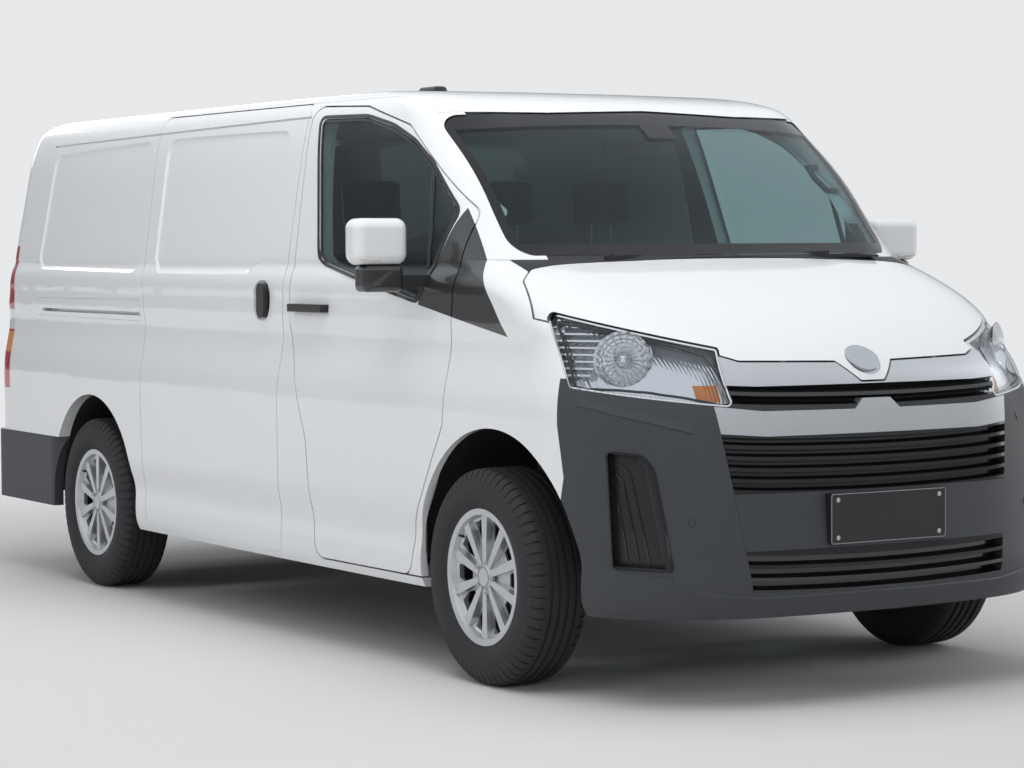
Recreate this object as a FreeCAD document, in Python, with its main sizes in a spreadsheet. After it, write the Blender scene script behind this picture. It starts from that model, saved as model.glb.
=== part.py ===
import FreeCAD, Part
import math
import os
import Sketcher

# Panel van: hollow shell with separate doors, wings and lids on a floor with two rails.
# X points to the van's left, Y to its rear and Z up. The origin is on the ground, midway
# between the bumpers. All lengths are in millimetres.

V = FreeCAD.Vector
doc = FreeCAD.newDocument("panel_van")

# Driving dimensions. A "step" is counted upwards from the size before it, a "drop" downwards
# from the crown of the roof, and a "tuck" inwards from the widest part of the body.
SIZES = {
    # Stance
    "wheel_base": 3210,
    "front_overhang": 925,
    "rear_overhang": 1130,
    "front_track": 1675,
    "rear_track": 1670,
    "ground_clearance": 280,
    # Heights of the body side, from the sill up
    "sill_round_step": 50,
    "sill_step": 150,
    "sill_crease_step": 80,
    "flank_step": 320,
    "crease_step": 230,
    "crease_lip_step": 40,
    "belt_step": 110,
    "ledge_step": 85,
    "cowl_step": 30,
    "window_step": 475,
    "roof_step": 140,
    # Half widths of the body side
    "body_half": 965,
    "sill_tuck": 32,
    "sill_round_tuck": 15,
    "sill_crease_tuck": 14,
    "crease_tuck": 31,
    "crease_lip_tuck": 28,
    "belt_tuck": 28,
    "ledge_tuck": 47,
    "cowl_tuck": 50,
    "window_tuck": 127,
    "cant_drop": 85,
    "cant_tuck": 143,
    "gutter_drop": 55,
    "gutter_tuck": 162,
    "shoulder_drop": 35,
    "shoulder_tuck": 190,
    "crown_edge_drop": 17,
    "crown_edge_tuck": 290,
    "crown_drop": 6,
    "crown_tuck": 470,
    "crown_patch_tuck": 715,
    # Lines of the nose, as distances ahead of the front axle
    "chin_reach": 893,
    "lip_reach": 925,
    "grille_reach": 871,
    "nose_reach": 839,
    "nose_top_step": 85,
    "bonnet_edge_reach": 736,
    "bonnet_mid_reach": 450,
    "cowl_reach": 90,
    "header_reach": -470,
    "roof_front_reach": -720,
    "crown_front_reach": -1500,
    # Lines of the tail, as distances behind the rear axle
    "tail_reach": 1062,
    "tail_belt_reach": 1030,
    "tail_window_reach": 965,
    "tail_roof_reach": 880,
    "crown_rear_reach": 300,
    # Plan corners
    "nose_bow_radius": 3100,
    "bumper_corner_radius": 550,
    "bonnet_corner_radius": 330,
    "screen_corner_radius": 250,
    "crown_corner_radius": 120,
    "tail_corner_radius": 110,
    "nose_taper": 40,
    "tail_taper": 12,
    # Thicknesses and gaps
    "wall_thickness": 50,
    "bonnet_thickness": 24,
    "glass_inset": 3,
    "glass_thickness": 6,
    "shut_gap": 6,
    "slide_gap": 4,
    "striker_gap": 0.95,
    "seam_gap": 0.8,
    "seat_gap": 0.3,
    # Roof seam and headers
    "roof_seam_drop": 45,
    "header_drop": 112,
    "header_half": 745,
    "cowl_half": 790,
    # Front door, measured from the front axle and from the sill
    "door_front_set": 240,
    "door_rear_set": 1362,
    "door_sill_gap": 36,
    "door_top_drop": 62,
    "door_corner": 60,
    # Sliding door
    "slide_rear_set": 2690,
    "slide_front_gap": 60,
    "slide_top_drop": 50,
    # Wheel arches
    "front_arch_radius": 465,
    "front_arch_shift": 60,
    "front_housing_radius": 480,
    "front_housing_shift": 40,
    "rear_arch_radius": 437,
    "rear_arch_shift": 40,
    "arch_centre_height": 372,
    # Tailgate and lamps
    "tailgate_half": 800,
    "tailgate_top_half": 705,
    "tailgate_bottom_step": 336,
    "tailgate_top_drop": 95,
    "tail_lamp_bottom_step": 520,
    "tail_lamp_height": 630,
    "tail_lamp_length": 150,
    # Bumpers
    "rear_bumper_height": 300,
    "rear_bumper_top_step": 330,
    "bumper_thickness": 45,
    "bumper_side_reach": 300,
    # Wheels
    "tyre_diameter": 706,
    "tyre_width": 215,
    "tyre_wall": 30,
    "tyre_bulge_step": 62,
    "tyre_shoulder": 26,
    "rim_diameter": 424,
    "rim_width": 176,
    "rim_wall": 12,
    "rim_lip": 10,
    "wheel_offset": 48,
    "hub_radius": 75,
    "spoke_count": 10,
    "spoke_inner": 40,
    "spoke_outer": 202,
    "spoke_face": 84,
    "spoke_half_inner": 10,
    "spoke_half_outer": 17,
    "window_inner": 118,
    "window_outer": 186,
    "kingpin_inset": 155,
    # Front face: slats, bars, lamps and vents, all let in behind the skin
    "face_depth": 30,
    "plate_centre_step": 296,
    "plate_screw_x": 398,
    "plate_screw_z": 117,
    "slat_pitch": 29,
    "slat_thickness": 11,
    "slat_lean": 9,
    "bar_low_step": 35,
    "bar_high_step": 125,
    "band_low_step": 208,
    "band_high_step": 382,
    "pad_width": 70,
    "pad_height": 8,
    "pad_step": 1207.5,
    "mat_half": 560,
    "mat_thickness": 4,
    "mat_front_step": 1860,
    "mat_rear_step": 60,
    "lamp_rim": 5,
    "hinge_step": 60,
    "hinge_drop": 3,
    "path_steps": 6,
    "path_degrees": 12,
    "lens_room": 11,
    "bowl_radius": 92,
    "bowl_floor": 96,
    "bowl_front": 46,
    "badge_radius": 60,
    "badge_proud": 7,
    # Side pressings, rail and handles
    "pressing_depth": 7,
    "pressing_slope": 24,
    "rail_low_step": 845,
    "rail_cover_height": 85,
    # Floor
    "floor_step": 330,
    "floor_rear_reach": 1000,
    "floor_thickness": 34,
    "rail_width": 70,
    "rail_height": 120,
    "rail_spacing": 880,
    "spring_half": 620,
    "spring_rise": 167,
    # Steering wheel
    "steering_lean": 62,
    "steering_reach": 640,
    "steering_rise": 560,
    "steering_side": -400,
    "column_length": 185,
}

# Places worked out from the driving dimensions
PLACES = {
    "body_length": "front_overhang + wheel_base + rear_overhang",
    "front_axle": "front_overhang - body_length / 2",
    "rear_axle": "front_axle + wheel_base",
    "sill_round_height": "ground_clearance + sill_round_step",
    "sill_crease_height": "sill_round_height + sill_step",
    "flank_low_height": "sill_crease_height + sill_crease_step",
    "flank_high_height": "flank_low_height + flank_step",
    "crease_height": "flank_high_height + crease_step",
    "crease_lip_height": "crease_height + crease_lip_step",
    "belt_height": "crease_lip_height + belt_step",
    "ledge_height": "belt_height + ledge_step",
    "cowl_height": "ledge_height + cowl_step",
    "window_top_height": "cowl_height + window_step",
    "roof_height": "window_top_height + roof_step",
    "floor_height": "ground_clearance + floor_step",
    "axle_height": "tyre_diameter / 2",
}

sheet = doc.addObject("Spreadsheet::Sheet", "sizes")
for row, (alias, number) in enumerate(SIZES.items(), 1):
    sheet.set("A%d" % row, alias)
    sheet.set("B%d" % row, str(number))
    sheet.setAlias("B%d" % row, alias)
for row, (alias, formula) in enumerate(PLACES.items(), 1):
    sheet.set("D%d" % row, alias)
    sheet.set("E%d" % row, "=" + formula)
    sheet.setAlias("E%d" % row, alias)
doc.recompute()


def s(alias):
    """Size from the sheet."""
    return float(sheet.get(alias))


FRONT_AXLE = s("front_axle")
REAR_AXLE = s("rear_axle")
SILL = s("ground_clearance")
SILL_ROUND = s("sill_round_height")
SILL_CREASE = s("sill_crease_height")
FLANK_LOW = s("flank_low_height")
FLANK_HIGH = s("flank_high_height")
CREASE = s("crease_height")
CREASE_LIP = s("crease_lip_height")
BELT = s("belt_height")
LEDGE = s("ledge_height")
COWL = s("cowl_height")
WINDOW_TOP = s("window_top_height")
ROOF = s("roof_height")
FLOOR = s("floor_height")

PARTS = []


def keep(label, shape):
    """Sub-part whose shape is worked out from the sheet."""
    feature = doc.addObject("Part::Feature", label)
    place = shape.Placement
    feature.Shape = shape
    feature.Label = label
    feature.Placement = place
    PARTS.append(feature)
    return feature


def keep_object(label, feature):
    """Sub-part made of bound objects."""
    feature.Label = label
    PARTS.append(feature)
    return feature


def bound(kind, name, **expressions):
    """Primitive or boolean whose properties follow the sheet."""
    feature = doc.addObject(kind, name)
    for path, expression in expressions.items():
        feature.setExpression(path.replace("_at_", "Placement.Base."), expression)
    return feature


def block(name, length, width, height, x, y, z):
    """Bound box: its three sizes, then the place of its lowest corner."""
    return bound("Part::Box", name, Length=length, Width=width, Height=height,
                 _at_x=x, _at_y=y, _at_z=z)


def fused(label, shapes, refine=True):
    """Bound objects joined into one sub-part."""
    feature = doc.addObject("Part::MultiFuse", label)
    feature.Shapes = shapes
    feature.Refine = refine
    return keep_object(label, feature)


def plane(body, role):
    return [feature for feature in body.Origin.OriginFeatures if feature.Role == role][0]


def profile(body, name, role, corners):
    """Closed sketch on one of the body's own planes, every corner bound to the sheet."""
    sketch = body.newObject("Sketcher::SketchObject", name)
    sketch.AttachmentSupport = [(plane(body, role), "")]
    sketch.MapMode = "FlatFace"
    places = [[float(sketch.evalExpression(expression)) for expression in corner] for corner in corners]
    for index, place in enumerate(places):
        following = places[(index + 1) % len(places)]
        sketch.addGeometry(Part.LineSegment(V(place[0], place[1], 0), V(following[0], following[1], 0)))
    for index in range(len(places)):
        sketch.addConstraint(Sketcher.Constraint("Coincident", index, 2, (index + 1) % len(places), 1))
    for index, (place, corner) in enumerate(zip(places, corners)):
        for kind, number, expression in zip(("DistanceX", "DistanceY"), place, corner):
            row = sketch.addConstraint(Sketcher.Constraint(kind, -1, 1, index, 1, number))
            if any(letter.isalpha() for letter in expression):
                sketch.setExpression("Constraints[%d]" % row, expression)
    return sketch


def revolved(body, name, sketch, axis="H_Axis"):
    feature = body.newObject("PartDesign::Revolution", name)
    feature.Profile = sketch
    feature.ReferenceAxis = (sketch, [axis])
    feature.Angle = 360
    return feature


def smooth_line(stations):
    """Value at any height, smooth through the stations and never beyond them."""
    heights = [height for height, value in stations]
    values = [value for height, value in stations]
    steps = [high - low for low, high in zip(heights, heights[1:])]
    slopes = [(high - low) / step for low, high, step in zip(values, values[1:], steps)]
    tangents = [slopes[0]]
    for before, after in zip(slopes, slopes[1:]):
        same_way = before * after > 0
        tangents.append(2 * before * after / (before + after) if same_way else 0)
    tangents.append(slopes[-1])

    def at(height):
        height = min(max(height, heights[0]), heights[-1])
        index = max(i for i, low in enumerate(heights[:-1]) if low <= height)
        step = steps[index]
        t = (height - heights[index]) / step
        return ((2 * t ** 3 - 3 * t ** 2 + 1) * values[index]
                + (t ** 3 - 2 * t ** 2 + t) * step * tangents[index]
                + (3 * t ** 2 - 2 * t ** 3) * values[index + 1]
                + (t ** 3 - t ** 2) * step * tangents[index + 1])
    return at


def half(tuck):
    return s("body_half") - s(tuck)


def ahead(reach):
    return FRONT_AXLE - s(reach)


def behind(reach):
    return REAR_AXLE + s(reach)


NOSE_TOP = FLANK_HIGH + s("nose_top_step")

SIDE_LOW = smooth_line([
    (SILL, half("sill_tuck")), (SILL_ROUND, half("sill_round_tuck")),
    (SILL_CREASE, half("sill_crease_tuck")), (FLANK_LOW, s("body_half") - 2),
    (FLANK_HIGH, s("body_half")), (CREASE, half("crease_tuck")),
    (CREASE_LIP, half("crease_lip_tuck")), (BELT, half("belt_tuck")),
    (LEDGE, half("ledge_tuck")), (COWL, half("cowl_tuck"))])
SIDE_HIGH = smooth_line([
    (COWL, half("cowl_tuck")), (WINDOW_TOP, half("window_tuck")),
    (ROOF - s("cant_drop"), half("cant_tuck")), (ROOF - s("gutter_drop"), half("gutter_tuck")),
    (ROOF - s("shoulder_drop"), half("shoulder_tuck")),
    (ROOF - s("crown_edge_drop"), half("crown_edge_tuck")), (ROOF - s("crown_drop"), half("crown_tuck")),
    (ROOF, half("crown_patch_tuck"))])
NOSE_LOW = smooth_line([
    (SILL, ahead("chin_reach")), (SILL_ROUND + 40, ahead("lip_reach")),
    (FLANK_LOW, ahead("lip_reach") + 15), (FLANK_HIGH, ahead("grille_reach")),
    (NOSE_TOP + 35, ahead("nose_reach")), (CREASE - 10, ahead("bonnet_edge_reach")),
    (CREASE_LIP + 50, ahead("bonnet_edge_reach") + 170), (BELT - 10, ahead("bonnet_mid_reach")),
    (LEDGE, FRONT_AXLE - s("cowl_reach") - 95), (COWL, ahead("cowl_reach"))])
NOSE_HIGH = smooth_line([
    (COWL, ahead("cowl_reach")), (ROOF - s("cant_drop") - 10, ahead("header_reach")),
    (ROOF - s("shoulder_drop"), ahead("roof_front_reach")), (ROOF, ahead("crown_front_reach"))])
TAIL = smooth_line([
    (SILL, behind("tail_reach")), (CREASE, behind("tail_reach") - 4),
    (LEDGE, behind("tail_belt_reach")), (WINDOW_TOP, behind("tail_window_reach")),
    (ROOF - s("shoulder_drop"), behind("tail_roof_reach")), (ROOF, behind("crown_rear_reach"))])
CORNER = smooth_line([
    (SILL, s("bumper_corner_radius") - 50), (FLANK_LOW, s("bumper_corner_radius")),
    (NOSE_TOP, s("bumper_corner_radius") - 20), (CREASE, s("bonnet_corner_radius") + 120),
    (BELT, s("bonnet_corner_radius") - 30), (COWL, s("screen_corner_radius")),
    (WINDOW_TOP, s("screen_corner_radius") - 10), (ROOF, s("crown_corner_radius"))])


def curve_edge(start, pole, end):
    """Edge that leaves the start towards the pole and comes from the pole into the end."""
    bezier = Part.BezierCurve()
    bezier.setPoles([start, pole, end])
    return bezier.toShape()


def plan_wire(height, side, nose, inset):
    """Closed plan outline of the body at one height, moved inwards by the inset."""
    widest = side(height) - inset
    front = nose(height) + inset
    rear = TAIL(height) - inset
    z = height - inset
    front_half = widest - s("nose_taper")
    rear_half = widest - s("tail_taper")
    corner = min(CORNER(height) - inset / 2, front_half * 0.8)
    tail_corner = min(s("tail_corner_radius") - inset / 2, rear_half * 0.5)
    bow_half = front_half - corner
    bow_drop = bow_half ** 2 / (2 * s("nose_bow_radius"))
    bow_slope = 2 * bow_drop / bow_half
    corner_y = front + bow_drop + bow_slope * corner

    def flank(sign):
        bow_end = V(sign * bow_half, front + bow_drop, z)
        corner_pole = V(sign * front_half, corner_y, z)
        side_front = V(sign * front_half, corner_y + corner, z)
        side_pole = V(sign * (2 * widest - front_half / 2 - rear_half / 2), 0, z)
        side_rear = V(sign * rear_half, rear - tail_corner, z)
        tail_pole = V(sign * rear_half, rear, z)
        tail_end = V(sign * (rear_half - tail_corner), rear, z)
        return bow_end, corner_pole, side_front, side_pole, side_rear, tail_pole, tail_end

    left = flank(1)
    right = flank(-1)
    return Part.Wire([
        curve_edge(right[0], V(0, front - bow_drop, z), left[0]),
        curve_edge(left[0], left[1], left[2]),
        curve_edge(left[2], left[3], left[4]),
        curve_edge(left[4], left[5], left[6]),
        Part.LineSegment(left[6], right[6]).toShape(),
        curve_edge(right[6], right[5], right[4]),
        curve_edge(right[4], right[3], right[2]),
        curve_edge(right[2], right[1], right[0])])


def loft_heights(low, high, marks, longest):
    """Heights of the sections: every mark, with more between marks that lie far apart."""
    inside = sorted(mark for mark in marks if low + 4 < mark < high - 4)
    ends = [low] + inside + [high]
    heights = [low]
    for start, end in zip(ends, ends[1:]):
        count = max(1, math.ceil((end - start) / longest))
        heights += [start + (end - start) * step / count for step in range(1, count + 1)]
    return heights


OUTER_MARKS = ([SILL_ROUND, SILL_CREASE, FLANK_LOW, FLANK_HIGH, NOSE_TOP + 35, CREASE, CREASE_LIP, BELT, LEDGE],
               [WINDOW_TOP] + [ROOF - s(drop) for drop in (
                   "cant_drop", "gutter_drop", "shoulder_drop", "crown_edge_drop", "crown_drop")])
INNER_MARKS = ([FLANK_LOW, (FLANK_LOW + FLANK_HIGH) / 2, FLANK_HIGH, NOSE_TOP + 35, CREASE, BELT],
               [WINDOW_TOP, ROOF - s("cant_drop")])


def envelope(inset, lined=False):
    """Solid inside the body's outer skin, or inside a plainer lining the inset further in."""
    low_marks, high_marks = INNER_MARKS if lined else OUTER_MARKS
    top = ROOF - s("shoulder_drop") if lined else ROOF
    spacing = 600 if lined else 90
    lower = [plan_wire(height, SIDE_LOW, NOSE_LOW, inset)
             for height in loft_heights(SILL, COWL, low_marks, spacing)]
    upper = [plan_wire(height, SIDE_HIGH, NOSE_HIGH, inset)
             for height in loft_heights(COWL, top, high_marks, spacing * 2)]
    return Part.makeLoft(lower, True, False, False, 2).fuse(Part.makeLoft(upper, True, False, False, 2))


def skin(outer_inset, inner_inset):
    """Shell between two insets, open at the bottom."""
    lined = inner_inset - outer_inset > s("glass_thickness")
    return envelope(outer_inset).cut(envelope(inner_inset, lined))


def outline(points, radius=0):
    """Closed wire through the points, with every corner rounded as far as its sides allow."""
    edges = []
    count = len(points)
    starts = []
    for index, point in enumerate(points):
        before = points[index - 1] - point
        after = points[(index + 1) % count] - point
        half_angle = before.getAngle(after) / 2
        room = 0.45 * min(before.Length, after.Length)
        cut = min(radius / math.tan(half_angle), room)
        before.normalize()
        after.normalize()
        if cut < 0.5:
            starts.append((point, None, point))
            continue
        real = cut * math.tan(half_angle)
        middle_way = (before + after).normalize()
        centre = point + middle_way * (real / math.sin(half_angle))
        middle = centre - middle_way * real
        starts.append((point + before * cut, middle, point + after * cut))
    for index, (start, middle, end) in enumerate(starts):
        if middle is not None:
            edges.append(Part.Arc(start, middle, end).toShape())
        following = starts[(index + 1) % count][0]
        if (following - end).Length > 0.01:
            edges.append(Part.LineSegment(end, following).toShape())
    return Part.Wire(edges)


def grown(wire, gap):
    return wire.makeOffset2D(gap) if gap else wire


def side_prism(points, radius=0, gap=0, near=-1200, far=1200):
    """Block whose side view is the (y, z) outline, from one x to another."""
    wire = grown(outline([V(near, y, z) for y, z in points], radius), gap)
    return Part.Face(wire).extrude(V(far - near, 0, 0))


def front_prism(points, radius=0, gap=0, near=-2800, far=2800):
    """Block whose front view is the (x, z) outline, from one y to another."""
    wire = grown(outline([V(x, near, z) for x, z in points], radius), gap)
    return Part.Face(wire).extrude(V(0, far - near, 0))


def plan_prism(points, radius=0, gap=0, near=-100, far=2400):
    """Block whose plan view is the (x, y) outline, from one height to another."""
    wire = grown(outline([V(x, y, near) for x, y in points], radius), gap)
    return Part.Face(wire).extrude(V(0, 0, far - near))


def box(x0, x1, y0, y1, z0, z1):
    return Part.makeBox(x1 - x0, y1 - y0, z1 - z0, V(x0, y0, z0))


def other_side(shape):
    return shape.mirror(V(0, 0, 0), V(1, 0, 0))


def biggest(shape):
    """Main solid, without slivers that a cut leaves at the edge of the sheet."""
    return max(shape.Solids, key=lambda solid: solid.Volume)


WALL = skin(0, s("wall_thickness"))
THIN = skin(0, s("bonnet_thickness"))
GLASS = skin(s("glass_inset"), s("glass_inset") + s("glass_thickness"))
# Cores that stop a cut at one depth behind the skin
DEEP = envelope(s("face_depth"), True)
SHALLOW = envelope(s("pressing_depth"))
LENS_ROOM = envelope(s("lens_room"))

ROOF_SEAM = ROOF - s("roof_seam_drop")
HEADER = ROOF - s("header_drop")

# Outlines of the openings, in side, front or plan view
DOOR_FRONT = FRONT_AXLE + s("door_front_set")
DOOR_REAR = FRONT_AXLE + s("door_rear_set")
DOOR_LOW = SILL + s("door_sill_gap")
DOOR_TOP = ROOF - s("door_top_drop")
DOOR = [(DOOR_REAR - 215, DOOR_LOW), (DOOR_FRONT + 235, DOOR_LOW), (DOOR_FRONT + 195, DOOR_LOW + 180),
        (DOOR_FRONT + 75, DOOR_LOW + 395), (DOOR_FRONT, DOOR_LOW + 520), (DOOR_FRONT - 20, LEDGE + 185),
        (FRONT_AXLE + 690, WINDOW_TOP - 15), (FRONT_AXLE + 1010, DOOR_TOP - 15),
        (DOOR_REAR + 30, DOOR_TOP), (DOOR_REAR, LEDGE), (DOOR_REAR, CREASE + 20),
        (DOOR_REAR - 165, DOOR_LOW + 420)]
DOOR_WINDOW = [(DOOR_REAR - 180, LEDGE + 45), (DOOR_REAR - 225, LEDGE + 20),
               (FRONT_AXLE + 447, BELT - 20), (FRONT_AXLE + 300, LEDGE + 190),
               (FRONT_AXLE + 501, WINDOW_TOP - 150), (FRONT_AXLE + 637, WINDOW_TOP - 72),
               (FRONT_AXLE + 800, WINDOW_TOP - 14), (FRONT_AXLE + 990, DOOR_TOP - 53),
               (DOOR_REAR - 42, DOOR_TOP - 46)]
SLIDE_FRONT = DOOR_REAR + s("slide_front_gap")
SLIDE_REAR = FRONT_AXLE + s("slide_rear_set")
SLIDE_LOW = DOOR_LOW - 8
SLIDE = [(SLIDE_FRONT, SLIDE_LOW), (SLIDE_FRONT, ROOF - s("slide_top_drop")),
         (SLIDE_REAR + 20, ROOF - s("slide_top_drop")), (SLIDE_REAR, LEDGE), (SLIDE_REAR - 40, CREASE),
         (SLIDE_REAR - 60, SLIDE_LOW)]
SLIDE_PRESSING = [(SLIDE_REAR - 122, LEDGE + 5), (SLIDE_REAR - 112, WINDOW_TOP - 22),
                  (SLIDE_FRONT + 128, WINDOW_TOP - 16), (SLIDE_FRONT + 168, LEDGE + 70),
                  (SLIDE_FRONT + 330, LEDGE + 2)]
REAR_PRESSING = [(SLIDE_REAR + 90, LEDGE + 5), (SLIDE_REAR + 100, WINDOW_TOP - 22),
                 (REAR_AXLE + 590, WINDOW_TOP - 40), (REAR_AXLE + 640, LEDGE + 5)]
DRIP = [(REAR_AXLE + 650, WINDOW_TOP + 8), (DOOR_REAR + 40, WINDOW_TOP + 38), (DOOR_REAR + 40, WINDOW_TOP + 46),
        (REAR_AXLE + 650, WINDOW_TOP + 16)]
PULL_MIDDLE = SLIDE_FRONT + 170
PULL = [(PULL_MIDDLE - 66, CREASE_LIP), (PULL_MIDDLE + 66, CREASE_LIP), (PULL_MIDDLE + 66, CREASE_LIP + 148),
        (PULL_MIDDLE - 66, CREASE_LIP + 148)]
SLIDE_PANEL = [(y, z - s("slide_gap") + s("seat_gap") if z == SLIDE_LOW else z) for y, z in SLIDE]
SCREEN = [(-770, COWL + 14), (770, COWL + 14), (758, WINDOW_TOP + 15), (0, WINDOW_TOP + 40),
          (-758, WINDOW_TOP + 15)]
BONNET = [(860, -2800), (860, FRONT_AXLE - 430), (905, FRONT_AXLE - 330), (832, FRONT_AXLE - 110),
          (775, FRONT_AXLE - 62), (400, FRONT_AXLE - 84), (0, FRONT_AXLE - 90)]
BONNET = BONNET + [(-x, y) for x, y in BONNET[-2::-1]]
NOSE_LINE = [(0, NOSE_TOP + 32), (45, NOSE_TOP + 32), (110, NOSE_TOP + 93), (450, NOSE_TOP + 100),
             (540, CREASE - 14), (760, CREASE + 8), (885, CREASE + 88), (893, CREASE + 97), (1200, CREASE + 97)]
NOSE_LINE = [(1200, 1700)] + NOSE_LINE[::-1] + [(-x, z) for x, z in NOSE_LINE[1:]] + [(-1200, 1700)]
FLOOR_REAR = behind("floor_rear_reach")
GATE_LOW = SILL + s("tailgate_bottom_step")
GATE_TOP = ROOF - s("tailgate_top_drop")
GATE = [(-s("tailgate_half"), GATE_LOW), (s("tailgate_half"), GATE_LOW),
        (s("tailgate_half"), LEDGE), (s("tailgate_top_half"), GATE_TOP),
        (-s("tailgate_top_half"), GATE_TOP), (-s("tailgate_half"), LEDGE)]
GATE_WINDOW = [(-660, LEDGE + 20), (660, LEDGE + 20), (600, WINDOW_TOP - 45), (-600, WINDOW_TOP - 45)]


def corner_prism(corners, radius, gap):
    """Block whose view from halfway between the front and the side is the outline."""
    slant = math.sqrt(0.5)
    reach = 3200
    flat = [(x * slant + y * slant, z) for x, y, z in corners]
    points = [V(across * slant, across * slant, z) + V(reach, -reach, 0) * slant for across, z in flat]
    wire = grown(outline(points, radius), gap)
    return Part.Face(wire).extrude(V(-reach, reach, 0) * slant * 0.75)


def lamp_prism(gap):
    corners = [(895, FRONT_AXLE - 325, CREASE + 103), (540, ahead("bonnet_edge_reach") - 4, CREASE - 11),
               (505, ahead("nose_reach") + 32, NOSE_TOP - 40), (880, FRONT_AXLE - 455, CREASE - 128)]
    return corner_prism(corners, 14, gap)


def pressing(points, radius, grow=0):
    """Shallow panel pressed into the left flank, with sloping edges."""
    slope = s("pressing_slope")
    heights = [z for y, z in points]
    low, high = min(heights), max(heights)

    def flank(z):
        return SIDE_HIGH(z) if z > COWL else SIDE_LOW(z)

    def place(z, shift):
        share = (z - low) / (high - low)
        return flank(low) * (1 - share) + flank(high) * share + shift

    inner = outline([V(place(z, -slope), y, z) for y, z in points], radius)
    outer = grown(outline([V(place(z, slope), y, z) for y, z in points], radius), 2 * slope + grow)
    return Part.makeLoft([grown(inner, grow), outer], True, True).cut(SHALLOW)


def groove(points):
    """Narrow channel along the left flank."""
    return side_prism(points, 0, 0, 600, 1200).cut(SHALLOW)


def arch_block(axle, radius, shift, near, far):
    """Wheel arch: a round top with straight lower ends, from one x to another."""
    y = axle - shift
    z = s("arch_centre_height")
    drum = Part.makeCylinder(radius, far - near, V(near, y, z), V(1, 0, 0))
    return drum.fuse(box(near, far, y - radius, y + radius, 0, z)).removeSplitter()


FRONT_ARCH = arch_block(FRONT_AXLE, s("front_arch_radius"), s("front_arch_shift"), -1200, 1200)
REAR_ARCH = arch_block(REAR_AXLE, s("rear_arch_radius"), s("rear_arch_shift"), -1200, 1200)
LAMP = lamp_prism(0)
LAMP_HOLE = lamp_prism(s("seam_gap"))


def bonnet_block(gap):
    """Space of the bonnet: inside its plan outline, above the nose line and outside the lamps."""
    plan = plan_prism(BONNET, 20, gap, NOSE_TOP, 2400)
    lamps = lamp_prism(s("shut_gap") - gap)
    above = front_prism(NOSE_LINE, 12, gap, -2900, -1500)
    return plan.common(above).cut(lamps).cut(other_side(lamps))


def cowl_block(gap):
    """Space of the cowl panel between the bonnet and the windscreen."""
    half_width = s("cowl_half") + gap
    foot = 679 + gap
    view = [(-half_width, COWL - 60 - gap), (half_width, COWL - 60 - gap), (half_width, COWL), (foot, COWL),
            (foot, COWL + 13), (-foot, COWL + 13), (-foot, COWL), (-half_width, COWL)]
    return front_prism(view, 0, 0, FRONT_AXLE - 120, FRONT_AXLE + 60 + gap)


BONNET_BLOCK = bonnet_block(0)
BONNET_HOLE = bonnet_block(s("shut_gap"))


# Side walls, with the sill, the pillars, the roof rail and the rear corner in one pressing
def side_wall(with_slide):
    seam = s("seam_gap")
    region = side_prism([(-1830, COWL + seam), (-1830, ROOF_SEAM - seam), (2700, ROOF_SEAM - seam),
                         (2700, SILL - 5), (FRONT_AXLE + 320, SILL - 5), (FRONT_AXLE + 320, DOOR_LOW - 6),
                         (FRONT_AXLE + 640, DOOR_LOW - 6), (FRONT_AXLE + 640, COWL + seam)])
    view = front_prism([(680, SILL - 5), (1100, SILL - 5), (1100, ROOF_SEAM), (s("header_half") + 1, ROOF_SEAM),
                        (s("header_half") + 1, HEADER - 1), (680, HEADER - 1)])
    wall = WALL.common(region).common(view)
    wall = wall.cut(side_prism(DOOR, 60, s("shut_gap")))
    if with_slide:
        wall = wall.cut(side_prism(SLIDE, 40, s("slide_gap")))
    wall = wall.cut(front_prism(SCREEN, 60, s("seam_gap"), -2000, -900))
    wall = wall.cut(front_prism(GATE, 50, s("shut_gap"), 2100, 2800))
    wall = wall.cut(REAR_ARCH).cut(FRONT_ARCH).cut(tail_lamp_block(s("seam_gap")))
    wall = biggest(wall.cut(rear_bumper_block()))
    tools = [pressing(REAR_PRESSING, 40), groove(DRIP)]
    if with_slide:
        tools.append(rail_prism(s("seam_gap")).cut(DEEP))
    else:
        tools.append(pressing(SLIDE_PRESSING, 40))
    wall = biggest(wall.cut(tools))
    striker = box(half("belt_tuck") - 13, half("belt_tuck") - 5, DOOR_REAR + s("striker_gap"),
                  DOOR_REAR + s("shut_gap") + 20, BELT - 110, BELT - 70)
    return wall.fuse(striker)


def rail_prism(gap):
    """Cover of the sliding door's rail, behind the door."""
    low = SILL + s("rail_low_step")
    high = low + s("rail_cover_height")
    front = SLIDE_REAR + s("slide_gap") + 6
    rear = behind("tail_reach") - s("tail_lamp_length") - 290
    return side_prism([(front, low), (rear, low + 6), (rear, high - 6), (front, high)], 4, gap, 600, 1200)


def make_slide_rail():
    """Cover strip with the slot that the door's roller runs in, and the door's pull handle."""
    low = SILL + s("rail_low_step")
    slot = box(600, 1200, SLIDE_REAR - 100, REAR_AXLE + 560, low + 22, low + 36)
    cover = biggest(WALL.common(rail_prism(0)).cut(DEEP).cut(slot))
    cover.translate(V(s("seat_gap"), 0, 0))
    keep("slide_rail", other_side(cover))
    grip = side_prism([(y - 62 if y > PULL_MIDDLE else y + 10, z - 10 if z > CREASE_LIP + 60 else z + 10)
                       for y, z in PULL], 28, 0, half("ledge_tuck") - 100, half("belt_tuck") + 18)
    grip = biggest(grip.cut(DEEP))
    grip.translate(V(s("seat_gap"), 0, 0))
    keep("slide_handle", other_side(grip))


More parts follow.
